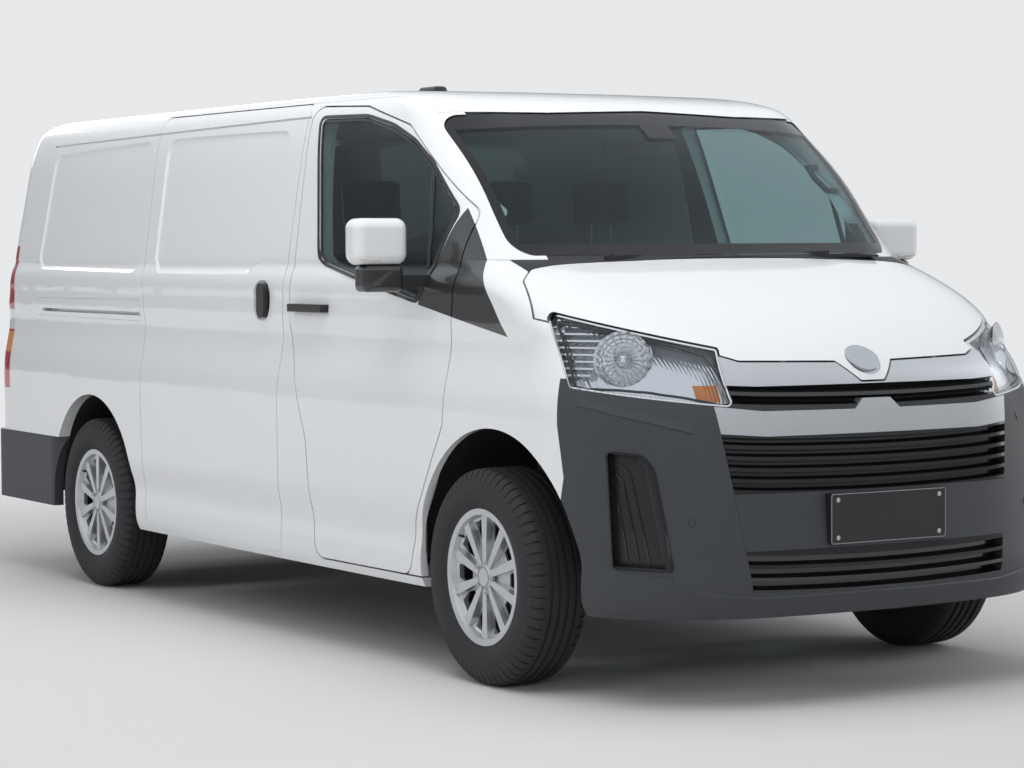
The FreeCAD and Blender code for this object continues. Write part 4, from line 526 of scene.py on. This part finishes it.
def grown(outline, distance):
    """The closed outline moved outwards by a distance."""
    area = sum(a * d - c * b for (a, b), (c, d) in zip(outline, outline[1:] + outline[:1]))
    sign = 1 if area > 0 else -1
    moved = []
    for index, (a, b) in enumerate(outline):
        before, after = Vector(outline[index - 1]), Vector(outline[(index + 1) % len(outline)])
        along = (after - before).normalized()
        moved.append((a + sign * along.y * distance, b - sign * along.x * distance))
    return moved


def spaced(outline, gap=0.02, closed=True):
    """The outline with extra points, so that none are further apart than the gap."""
    dense = []
    pairs = list(zip(outline, outline[1:] + outline[:1])) if closed else list(zip(outline, outline[1:]))
    for (a, b), (c, d) in pairs:
        parts = max(1, math.ceil(math.hypot(c - a, d - b) / gap))
        dense += [(a + (c - a) * part / parts, b + (d - b) * part / parts) for part in range(parts)]
    return dense if closed else dense + [outline[-1]]


def laid(outline, surface, axis, side, gap=0.02, closed=True):
    """The outline laid on a surface, seen along one axis, as (point, surface normal) pairs."""
    path = []
    for a, b in spaced(outline, gap, closed):
        start, aim = {"x": (Vector((side * 3, a, b)), Vector((-side, 0, 0))),
                      "y": (Vector((a, side * 5, b)), Vector((0, -side, 0)))}[axis]
        point, normal, _, _ = surface.ray_cast(start, aim)
        if point:
            path.append((point, normal if normal.dot(aim) < 0 else -normal))
    return path


def swept(name, path, section, material, body, closed=True):
    """Strip with one section, (beside, above), along a path of (point, surface normal) pairs."""
    points, faces = [], []
    count, corners = len(path), len(section)
    for index, (point, normal) in enumerate(path):
        before = path[index - 1][0] if closed or index else point
        after = path[(index + 1) % count][0] if closed or index < count - 1 else point
        beside = (after - before).normalized().cross(normal).normalized()
        points += [point + beside * u + normal * v for u, v in section]
    for index in range(count if closed else count - 1):
        for corner in range(corners):
            this, that = index * corners, (index + 1) % count * corners
            after = (corner + 1) % corners
            faces.append((this + corner, this + after, that + after, that + corner))
    if not closed:
        faces += [tuple(range(corners)), tuple(range((count - 1) * corners, count * corners))[::-1]]
    return mesh_piece(name, points, faces, material, body)


def strip_section(width, height):
    """Flat strip with rounded top edges, sunk a little into the surface."""
    half = width / 2
    return [(-half, -0.002), (-half, height * 0.5), (-half * 0.7, height), (half * 0.7, height),
            (half, height * 0.5), (half, -0.002)]


HANDS = (-1, "right"), (1, "left")
DOOR_WINDOW = [(-0.5255, 1.390), (-0.5705, 1.365), (-1.2605, 1.240), (-1.4075, 1.535), (-1.2065, 1.700),
               (-1.0705, 1.778), (-0.9075, 1.836), (-0.7175, 1.875), (-0.3875, 1.882)]
QUARTER_BAR = [(-1.224, 1.672), (-1.288, 1.350)]
for side, hand in HANDS:
    door = "door_" + hand
    pane_skin = skin(door + "_glass")
    swept("window_seal_" + hand, laid(grown(rounded(DOOR_WINDOW), 0.007), skin(door, door + "_glass"), "x", side),
          strip_section(0.013, 0.0035), seal_rubber, door)
    swept("window_lip_" + hand, laid(grown(rounded(DOOR_WINDOW), -0.008), pane_skin, "x", side),
          strip_section(0.009, 0.0025), seal_rubber, door)
    swept("quarter_bar_" + hand, laid(QUARTER_BAR, pane_skin, "x", side, closed=False),
          strip_section(0.024, 0.004), seal_rubber, door, closed=False)
GATE_WINDOW = [(-0.660, 1.365), (0.660, 1.365), (0.600, 1.805), (-0.600, 1.805)]
gate_path = laid(grown(rounded(GATE_WINDOW, 0.05), 0.004), skin("tailgate", "tailgate_glass"), "y", 1)
swept("gate_window_seal", gate_path, strip_section(0.020, 0.003), seal_rubber, "tailgate")

# Door mirrors: a painted shell over a black moulded foot, with silvered glass behind and an
# indicator strip pressed in along the lower edge of the shell.
FOOT_BLACK = (0.016, 0.016, 0.017)
MIRROR_PANE = (0.166, 0.128)
INDICATOR = (1.085, 1.3740), (1.165, 1.3800)
mirror_paint = zone(white_paint("mirror_paint"), FOOT_BLACK, 0.42, 0, box=(None, None, (1.20, 1.3625)))
dress(mirror_paint, "mirror_left", "mirror_right")
mirror_glass = finish("mirror_silvering", (0.80, 0.82, 0.83), 0.02, metal=1.0, mottle=0.01)
clear_strip = finish("indicator_lens", (0.62, 0.60, 0.56), 0.12, coat=0.6, mottle=0.03)


def slab(name, middle, first, second, size, corner, thick, material, body, chamfer=0.001, sides=32):
    """Rounded rectangular panel with a chamfered front edge, in the plane of two directions."""
    first, second = Vector(first).normalized(), Vector(second).normalized()
    front = first.cross(second)
    points = []
    for inset, height in ((0, -thick), (0, -chamfer), (chamfer, 0)):
        for turn in range(sides):
            angle = 2 * math.pi * (turn + 0.5) / sides
            u, v = math.cos(angle), math.sin(angle)
            beside = math.copysign(size[0] / 2 - corner, u) + (corner - inset) * u
            above = math.copysign(size[1] / 2 - corner, v) + (corner - inset) * v
            points.append(Vector(middle) + first * beside + second * above + front * height)
    ends = [tuple(range(sides))[::-1], tuple(range(2 * sides, 3 * sides))]
    return mesh_piece(name, points, ends + bands(3, sides), material, body, sharp_angle=30)


for side, hand in HANDS:
    slab("mirror_pane_" + hand, (side * 1.083, -1.2280, 1.4380), (-1, 0, 0), (0, 0, 1), MIRROR_PANE, 0.028, 0.003,
         mirror_glass, "door_" + hand)
    strip = laid([(side * x, z) for x, z in INDICATOR], skin("mirror_" + hand), "y", -1, 0.008, False)
    swept("indicator_" + hand, strip, strip_section(0.010, 0.0025), clear_strip, "door_" + hand, closed=False)

# Door handles, rail handle and the lock beside each: moulded black pulls screwed through the
# skin from behind, with a turned lock barrel.
LOCK_PLACE = -0.352, 1.202
LOCK = [(0.012, -0.001), (0.012, 0.0015), (0.0105, 0.0026), (0.0065, 0.0026), (0.006, 0.0012)]
satin_black = finish("satin_black", (0.014, 0.014, 0.015), 0.35, grain=0.08, grain_size=900, mottle=0.08)
dress(satin_black, "handle_left", "handle_right", "slide_handle")
for side, hand in HANDS:
    point, normal, _, _ = skin("door_" + hand).ray_cast(Vector((side * 3, *LOCK_PLACE)), Vector((-side, 0, 0)))
    button("lock_" + hand, point, normal, LOCK, satin_black, "door_" + hand)

# Headlamps: a silvered moulding with a bowl for the main beam and louvres behind a clear cover.
# The bowl is lined with flat facets that spread the light, and a marker strip below is amber.
AMBER = (0.50, 0.17, 0.05)
AMBER_BOX = (0.530, 0.600), (-2.60, -2.30), (0.940, 0.990)
FACETS = 20
BOWL_RADII = (0.0868, 0.0740, 0.0610, 0.0480, 0.0360, 0.0265)
BOWL_DEPTH, BOWL_CURVE = 0.0945, 0.046
BULB = [(0.011, 0), (0.011, 0.012), (0.0095, 0.019), (0.006, 0.0235), (0.002, 0.025)]
LAMP_CORNERS = [(0.895, -2.0325, 1.213), (0.540, -2.4100, 1.099), (0.505, -2.5145, 0.925), (0.880, -2.1625, 0.982)]
EDGE_PARTS = 24
silvering = finish("lamp_silver", (0.72, 0.73, 0.74), 0.14, metal=0.95, grain=0.02, mottle=0.03)
ribbed(silvering, 0.011, 0, 0.0010, 1.0)
dress(zone(silvering, AMBER, 0.15, 0.3, box=AMBER_BOX), "headlamps")
lamp_edge_black = finish("lamp_edge_black", (0.008, 0.008, 0.009), 0.2, coat=0.4, mottle=0.1)
facet_silver = finish("facet_silver", (0.86, 0.87, 0.88), 0.06, metal=1.0, mottle=0.02)
outer, inner = BOWL_RADII[0], BOWL_RADII[-1]
for side, hand in HANDS:
    sight = Vector((side * 0.583, -0.804, 0.121)).normalized()
    middle = Vector((side * 0.782, -2.3105, 1.078))
    first = sight.orthogonal().normalized()
    second = sight.cross(first)
    points = []
    for ring, radius in enumerate(BOWL_RADII):
        behind = BOWL_DEPTH - BOWL_CURVE * (radius ** 2 - inner ** 2) / (outer ** 2 - inner ** 2)
        for turn in range(FACETS):
            angle = 2 * math.pi * (turn + 0.5 * (ring % 2)) / FACETS
            points.append(middle - sight * behind + radius * (math.cos(angle) * first + math.sin(angle) * second))
    mesh_piece("reflector_" + hand, points, bands(len(BOWL_RADII), FACETS), facet_silver, "body", sharp_angle=1)
    button("bulb_" + hand, middle - sight * 0.0600, sight, BULB, facet_silver, "body", 20)
lens_skin = skin("headlamp_lenses")
for side, hand in HANDS:
    corners = [Vector((side * x, y, z)) for x, y, z in LAMP_CORNERS]
    centre = sum(corners, Vector()) / 4
    corners = [corner.lerp(centre, 0.035) for corner in corners]
    edge_path = []
    for index, corner in enumerate(corners):
        for part in range(EDGE_PARTS):
            spot = corners[index - 1].lerp(corner, part / EDGE_PARTS)
            point, normal, _, _ = lens_skin.find_nearest(spot + (centre - Vector((0, 0, centre.z))) * 0.01)
            edge_path.append((point, normal if normal.dot(Vector((side * 0.58, -0.8, 0.1))) > 0 else -normal))
    swept("lamp_edge_" + hand, edge_path, strip_section(0.008, 0.0012), lamp_edge_black, "body")
dress(tinted_glass("lens_clear", (0.94, 0.95, 0.96), 0.02), "headlamp_lenses")

# Grille: black moulded slats in a frame, two satin silver bars and, between them, the bumper's
# grained band. The bars are clipped on from behind.
gloss_black = finish("gloss_black", (0.010, 0.010, 0.011), 0.18, coat=0.6, grain=0.03, mottle=0.1)
dress(gloss_black, "grille")
bar_silver = finish("bar_silver", (0.47, 0.49, 0.51), 0.42, metal=0.60, coat=0.1, grain=0.02, mottle=0.02)
dress(bar_silver, "grille_bars")

# Bumpers: dark grey polypropylene with a fine leather grain, moulded in colour, with folds under
# the lamps, at the vents and along the chin. Round parking sensors sit flush in thin rings.
VENT = [(0.8420, 0.7900), (0.7700, 0.7800), (0.7480, 0.7420), (0.7130, 0.4330), (0.8370, 0.4390)]
VENT_RIBS = (((0.828, 0.752), (0.795, 0.748), (0.778, 0.722), (0.746, 0.455)),
             ((0.828, 0.730), (0.806, 0.726), (0.793, 0.700), (0.768, 0.455)),
             ((0.828, 0.708), (0.816, 0.704), (0.807, 0.680), (0.790, 0.455)))
VENT_FOLD = [(-0.870, 0.442), (-0.846, 0.433), (-0.784, 0.417), (-0.715, 0.411)]
LAMP_FOLD = [(-0.880, 0.930), (-0.816, 0.902), (-0.717, 0.871), (-0.640, 0.848)]
CHIN_FOLD = [(-0.700, 0.378), (-0.600, 0.358), (-0.480, 0.345), (0.480, 0.345), (0.600, 0.358), (0.700, 0.378)]
SHOULDER = [(-0.0300, -0.001), (0.0, 0.0035), (0.0040, -0.001)]
LEDGE = [(-0.0040, -0.001), (0.0, 0.0040), (0.0300, -0.001)]
SENSOR = [(0.0135, -0.002), (0.0135, 0.0012), (0.0125, 0.0020), (0.0115, 0.0008), (0.0100, 0.0008), (0.0095, 0.0016)]
SENSOR_SPOTS = (("front_bumper", -1, ((-0.660, 0.579), (0.660, 0.579))),
                ("rear_bumper", 1, ((-0.62, 0.52), (-0.22, 0.52), (0.22, 0.52), (0.62, 0.52))))


def bumper_plastic(name):
    """Grained dark grey plastic."""
    return finish(name, (0.036, 0.039, 0.044), 0.46, grain=0.30, grain_size=1100, mottle=0.06)


bumper_grey = bumper_plastic("bumper_grey")
dress(bumper_grey, "rear_bumper")
nose_grey = zone(bumper_plastic("nose_grey"), (0.012, 0.012, 0.013), 0.25, 0, corners=VENT, from_front=True)
dress(nose_grey, "front_bumper")
bumper_skin = skin("front_bumper")
for side, hand in HANDS:
    vent_path = laid([(side * x, z) for x, z in rounded(VENT, 0.012)], bumper_skin, "y", -1)
    swept("vent_frame_" + hand, vent_path, strip_section(0.010, 0.004), gloss_black, "body")
    for index, rib in enumerate(VENT_RIBS):
        path = laid([(side * x, z) for x, z in rib], bumper_skin, "y", -1, closed=False)
        swept("vent_rib_%s_%d" % (hand, index), path, strip_section(0.005, 0.005), gloss_black, "body", closed=False)
    for name, fold, section in (("vent_ledge_", VENT_FOLD, LEDGE), ("shoulder_fold_", LAMP_FOLD, SHOULDER)):
        path = laid(fold, bumper_skin, "y", -1, closed=False)
        if side > 0:
            path = [(Vector((-point.x, point.y, point.z)), Vector((-normal.x, normal.y, normal.z)))
                    for point, normal in path[::-1]]
        swept(name + hand, path, section, bumper_grey, "body", closed=False)
chin_path = laid(CHIN_FOLD, bumper_skin, "y", -1, closed=False)
swept("chin_ledge", chin_path, LEDGE, bumper_grey, "body", closed=False)
sensor_grey = finish("sensor_grey", (0.035, 0.036, 0.038), 0.4, grain=0.05, mottle=0.05)
for bumper, side, spots in SENSOR_SPOTS:
    for index, (point, normal) in enumerate(laid(spots, skin(bumper), "y", side, 9, False)):
        button("%s_sensor_%d" % (bumper, index), point, normal, SENSOR, sensor_grey, "body")

# Plate holder: a smooth black plastic plate with a raised border, held by four silver screws; no
# number plate is fitted.
PLATE = [(0.2245, 0.6475), (0.2195, 0.6525), (-0.2195, 0.6525), (-0.2245, 0.6475), (-0.2245, 0.5045),
         (-0.2195, 0.4995), (0.2195, 0.4995), (0.2245, 0.5045)]
PLATE_FACE = -2.630
SCREW = [(0.0075, 0.0), (0.0072, 0.0014), (0.0055, 0.0024), (0.0030, 0.0026), (0.0026, 0.0012)]
dress(satin_black, "plate_holder")
border_grey = finish("border_grey", (0.23, 0.24, 0.25), 0.4, grain=0.02, mottle=0.04)
swept("plate_border", laid(PLATE, skin("plate_holder"), "y", -1), strip_section(0.0030, 0.0014), border_grey, "body")
for index, (x, z) in enumerate(((-0.199, 0.5175), (0.199, 0.5175), (-0.199, 0.6345), (0.199, 0.6345))):
    button("plate_screw_%d" % index, (x, PLATE_FACE, z), (0, -1, 0), SCREW, zinc, "body", 20)

# Tail lamps: red moulded covers over the brake and tail lights, with a clear window for reversing
# and an amber one for turning.
CLEAR_BAND, AMBER_BAND = (1.060, 1.150), (0.960, 1.050)
lamp_red = finish("lamp_red", (0.36, 0.006, 0.008), 0.10, coat=0.6, grain=0.03, grain_size=300, mottle=0.06)
zone(lamp_red, (0.62, 0.64, 0.65), 0.12, 0.1, box=(None, None, CLEAR_BAND))
zone(lamp_red, (0.62, 0.20, 0.02), 0.12, 0, box=(None, None, AMBER_BAND))
dress(lamp_red, "tail_lamps")

# Tailgate fittings: a moulded grip over the number plate's recess, and a wiper whose arm turns on
# a spindle under the window.
GRIP = [(-0.20, 1.150), (0.20, 1.150)]
WIPER_ARM = [(0.0, 1.335), (-0.10, 1.360), (-0.44, 1.392)]
SPINDLE = [(0.022, -0.002), (0.022, 0.010), (0.018, 0.0150), (0.010, 0.0170), (0.004, 0.0175)]
gate_skin = skin("tailgate", "tailgate_glass")
for name, path, section in (("gate_grip", GRIP, (0.030, 0.016)), ("gate_wiper_arm", WIPER_ARM, (0.012, 0.012))):
    swept(name, laid(path, gate_skin, "y", 1, 0.02, False), strip_section(*section), satin_black, "tailgate",
          closed=False)
point, normal, _, _ = gate_skin.ray_cast(Vector((0, 5, WIPER_ARM[0][1])), Vector((0, -1, 0)))
button("gate_wiper_spindle", point, normal, SPINDLE, satin_black, "tailgate")

# Cowl, wipers and aerial: moulded and stamped black parts below the windscreen, and a short
# moulded aerial screwed to the roof.
dress(finish("cowl_plastic", (0.016, 0.016, 0.017), 0.55, grain=0.3, grain_size=800, mottle=0.1), "cowl")
dress(satin_black, "wipers", "roof_aerial", "cab_mirror")

# Dashboard: a grained moulding across the cab with round-cornered air vents, a blank screen and a
# hooded cluster behind the steering wheel.
VENT_HEIGHT, VENT_PLACES = 1.20, (-0.66, -0.12, 0.22, 0.66)
BLADE, BLADE_GAP = (0.090, 0.007), 0.012
DIAL_HEIGHT = 1.06
DIAL = [(0.017, 0), (0.017, 0.009), (0.0155, 0.012), (0.008, 0.013)]
cab_trim = finish("cab_trim", (0.030, 0.032, 0.034), 0.6, grain=0.35, grain_size=800, mottle=0.06)
dress(cab_trim, "dashboard", "steering_wheel")
blank_glass = finish("blank_glass", (0.004, 0.004, 0.005), 0.05, mottle=0.1)
vent_black = finish("vent_black", (0.010, 0.010, 0.011), 0.4, mottle=0.08)
dash_skin = skin("dashboard")


def on_dash(x, z, proud, lift=0):
    """Place a little proud of the rear face of the dashboard."""
    return dash_skin.ray_cast(Vector((x, 0, z)), Vector((0, -1, 0)))[0] + Vector((0, proud, lift))


for name, x, z, proud, size, corner, thick, material in (
        ("dash_screen", 0.05, 1.19, 0.004, (0.19, 0.11), 0.012, 0.006, blank_glass),
        ("dash_panel", 0.05, DIAL_HEIGHT, 0.004, (0.19, 0.07), 0.010, 0.006, vent_black),
        ("dash_cluster", -0.40, 1.26, 0.005, (0.29, 0.075), 0.03, 0.007, blank_glass)):
    slab(name, on_dash(x, z, proud), (-1, 0, 0), (0, 0, 1), size, corner, thick, material, "body")
for index, x in enumerate(VENT_PLACES):
    slab("vent_%d" % index, on_dash(x, VENT_HEIGHT, 0.003), (-1, 0, 0), (0, 0, 1), (0.105, 0.070), 0.014, 0.005,
         vent_black, "body")
    for blade in range(5):
        slab("vent_%d_blade_%d" % (index, blade), on_dash(x, VENT_HEIGHT, 0.009, BLADE_GAP * (blade - 2)),
             (-1, 0, 0), (0, 0.5, 1), BLADE, 0.003, 0.005, cab_trim, "body")
for step, x in enumerate((-0.01, 0.11)):
    button("dash_dial_%d" % step, on_dash(x, DIAL_HEIGHT, 0.004), (0, 1, 0), DIAL, cab_trim, "body", 24)

# Steering wheel: a foam-covered rim on three cast spokes with a soft pad over its boss, pressed
# on a splined column that leans 28 degrees from level.
LEAN = math.radians(62)
BOSS = Vector((-0.400, -1.0675, 1.170))
PAD = [(0.078, -0.010), (0.078, 0.012), (0.070, 0.022), (0.050, 0.028), (0.020, 0.030)]
SPOKE_START, SPOKE_END = 0.060, 0.172
column = Vector((0, math.sin(LEAN), math.cos(LEAN)))
button("wheel_pad", BOSS, column, PAD, cab_trim, "steering", 40)
for turn in range(3):
    angle = 2 * math.pi * turn / 3 + math.pi / 2
    spread = Vector((math.cos(angle), 0, 0)) + math.sin(angle) * column.cross(Vector((1, 0, 0)))
    start, end = BOSS + spread * SPOKE_START + column * 0.006, BOSS + spread * SPOKE_END
    face = [(start.lerp(end, part), (column - spread * 0.05).normalized()) for part in (0, 0.3, 0.6, 0.85, 1)]
    swept("wheel_spoke_%d" % turn, face, strip_section(0.034, 0.008), cab_trim, "steering", closed=False)

# Seats: foam cushions under dark woven cloth, sewn in channels round a paler middle panel, on
# black plinths; a single seat for the driver and a double one beside it.
RECLINE = math.radians(12)
HEAD_RECLINE = math.radians(4)
BASE_FRONT, BASE_LOW = -0.7275, 0.820
SEAT_ROUND, VOXEL, MOMENTS = 0.026, 0.0085, 18
BOLSTER, SEAM_DEPTH, SEAM_WIDTH = 0.085, 0.007, 0.008
seat_cloth = finish("seat_cloth", (0.022, 0.023, 0.025), 0.92, grain=0.7, grain_size=1400, mottle=0.12)
ribbed(seat_cloth, 0.0035, 0, 0.0004, 1.0)
seat_cloth.node_tree.nodes["Principled BSDF"].inputs["Sheen Weight"].default_value = 0.25
panel_cloth = finish("panel_cloth", (0.050, 0.053, 0.058), 0.9, grain=0.7, grain_size=1400, mottle=0.12)
plinth_black = finish("plinth_black", (0.018, 0.018, 0.019), 0.55, grain=0.2, grain_size=600, mottle=0.1)


def cushion(name, size, turn, place, swell):
    """Stuffed cushion: a rounded block of cloth blown up by its foam, then set in its place."""
    shape = bmesh.new()
    bmesh.ops.create_cube(shape, size=1)
    for vert in shape.verts:
        vert.co = Vector(part * length for part, length in zip(vert.co, size))
    bmesh.ops.bevel(shape, geom=shape.edges[:], offset=SEAT_ROUND, segments=4, profile=0.6, affect="EDGES")
    mesh = bpy.data.meshes.new(name)
    shape.to_mesh(mesh)
    shape.free()
    mesh.materials.append(seat_cloth)
    piece = bpy.data.objects.new(name, mesh)
    scene.collection.objects.link(piece)
    even = piece.modifiers.new("even", "REMESH")
    even.mode = "VOXEL"
    even.voxel_size = VOXEL
    cloth = piece.modifiers.new("foam", "CLOTH")
    cloth.settings.quality = 4
    cloth.settings.mass = 0.25
    cloth.settings.tension_stiffness = 12
    cloth.settings.compression_stiffness = 12
    cloth.settings.bending_stiffness = 0.6
    cloth.settings.use_pressure = True
    cloth.settings.uniform_pressure_force = 4
    cloth.settings.effector_weights.gravity = 0
    return piece, turn, Vector(place), swell, size


def settled(cushions):
    """Runs the stuffing for all cushions together and gives back their shapes as they stand."""
    for moment in range(1, MOMENTS + 1):
        scene.frame_set(moment)
    graph = bpy.context.evaluated_depsgraph_get()
    for piece, turn, place, swell, size in cushions:
        blown = bpy.data.meshes.new_from_object(piece.evaluated_get(graph))
        half = [length / 2 for length in size]
        for vert in blown.vertices:
            inside = Vector(max(-reach, min(reach, part)) for part, reach in zip(vert.co, half))
            beyond = vert.co - inside
            if beyond.length > swell:
                vert.co = inside + beyond.normalized() * swell
        piece.modifiers.clear()
        piece.data = blown
        stitch(piece, size, turn)
        blown.transform(Matrix.Translation(place) @ Matrix.Rotation(turn, 4, "X"))
        blown.shade_smooth()
        piece.modifiers.new("even", "SUBSURF").render_levels = 1


def stitch(piece, size, turn):
    """Sewn channels: a padded middle panel between two side bolsters, and one seam across it."""
    face_axis, run_axis, sign = (1, 2, -1) if turn else (2, 1, 1)
    thick, run = size[face_axis], size[run_axis]
    mesh = piece.data
    mesh.materials.append(panel_cloth)
    seam = size[0] / 2 - BOLSTER
    for vert in mesh.vertices:
        if sign * vert.co[face_axis] < thick * 0.2:
            continue
        across = abs(vert.co.x)
        close = abs(across - seam)
        if across < seam:
            close = min(close, abs(vert.co[run_axis] - run * 0.18), abs(vert.co[run_axis] + run * 0.20))
        vert.co[face_axis] -= sign * SEAM_DEPTH * math.exp(-(close / SEAM_WIDTH) ** 2)
    for polygon in mesh.polygons:
        middle = polygon.center
        inside = abs(middle.x) < seam and abs(middle[run_axis]) < run * 0.44
        polygon.material_index = int(inside and sign * middle[face_axis] > thick * 0.3)


def rod_section(radius, sides):
    """Round section for a swept bar."""
    turns = [2 * math.pi * part / sides for part in range(sides)]
    return [(radius * math.cos(turn), radius * math.sin(turn)) for turn in turns]


cushions = []
back_foot = Vector((0, BASE_FRONT + 0.470, 0.910))
for name, low, high, heads in (("driver", -0.720, -0.180, (-0.450,)), ("double", -0.060, 0.720, (0.140, 0.575))):
    width, middle = high - low, (low + high) / 2
    places = len(heads)
    seats = [(low + width * (2 * place + 1) / (2 * places), width / places) for place in range(places)]
    for index, (x, wide) in enumerate(seats):
        rise = Matrix.Rotation(-RECLINE, 4, "X") @ Vector((0, 0.065, 0.275))
        cushions.append(cushion("seat_%s_%d" % (name, index), (wide - 0.020, 0.480, 0.125), 0,
                                (x, BASE_FRONT + 0.255, BASE_LOW + 0.080), 0.014))
        cushions.append(cushion("seat_back_%s_%d" % (name, index), (wide - 0.020, 0.100, 0.520), -RECLINE,
                                Vector((x, 0, 0)) + back_foot + rise, 0.014))
    for index, x in enumerate(heads):
        cushions.append(cushion("head_rest_%s_%d" % (name, index), (0.230, 0.070, 0.165), -HEAD_RECLINE,
                                (x, BASE_FRONT + 0.645, 1.585), 0.010))
        for step in (-0.045, 0.045):
            post = [(Vector((x + step, BASE_FRONT + 0.640, z)), Vector((0, -1, 0))) for z in (1.400, 1.530)]
            swept("rest_post_%s_%d_%d" % (name, index, step > 0), post, rod_section(0.006, 12), zinc, "body",
                  closed=False)
    plinth = slab("plinth_" + name, (middle, BASE_FRONT + 0.040, 0.7155), (1, 0, 0), (0, 0, 1),
                  (width - 0.080, 0.210), 0.02, 0.440, plinth_black, "body", 0.006)
    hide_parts("seats")
settled(cushions)
for piece, _, _, _, _ in cushions:
    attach(piece, "body")
    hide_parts("seats")

# Grab handle on the passenger's pillar and the glass of the inside mirror: soft moulded plastic
# over steel, and silvered glass.
HANDLE_FEET = (0.74, -1.365, 1.600), (0.74, -1.255, 1.700)
pillar = skin("side_left", "front_wings", "windscreen")
low, high = [pillar.find_nearest(Vector(foot))[0] for foot in HANDLE_FEET]
off = Vector((-0.045, 0, 0))
grip_path = [low, low + off, low.lerp(high, 0.5) + off * 1.2, high + off, high]
swept("grab_handle", [(point, Vector((0.2, 0.7, -0.7)).normalized()) for point in grip_path],
      rod_section(0.011, 14), cab_trim, "body", closed=False)
slab("cab_mirror_glass", (0, -1.1885, 1.757), (-1, 0, 0), (0, 0, 1), (0.215, 0.050), 0.015, 0.003,
     mirror_glass, "body")
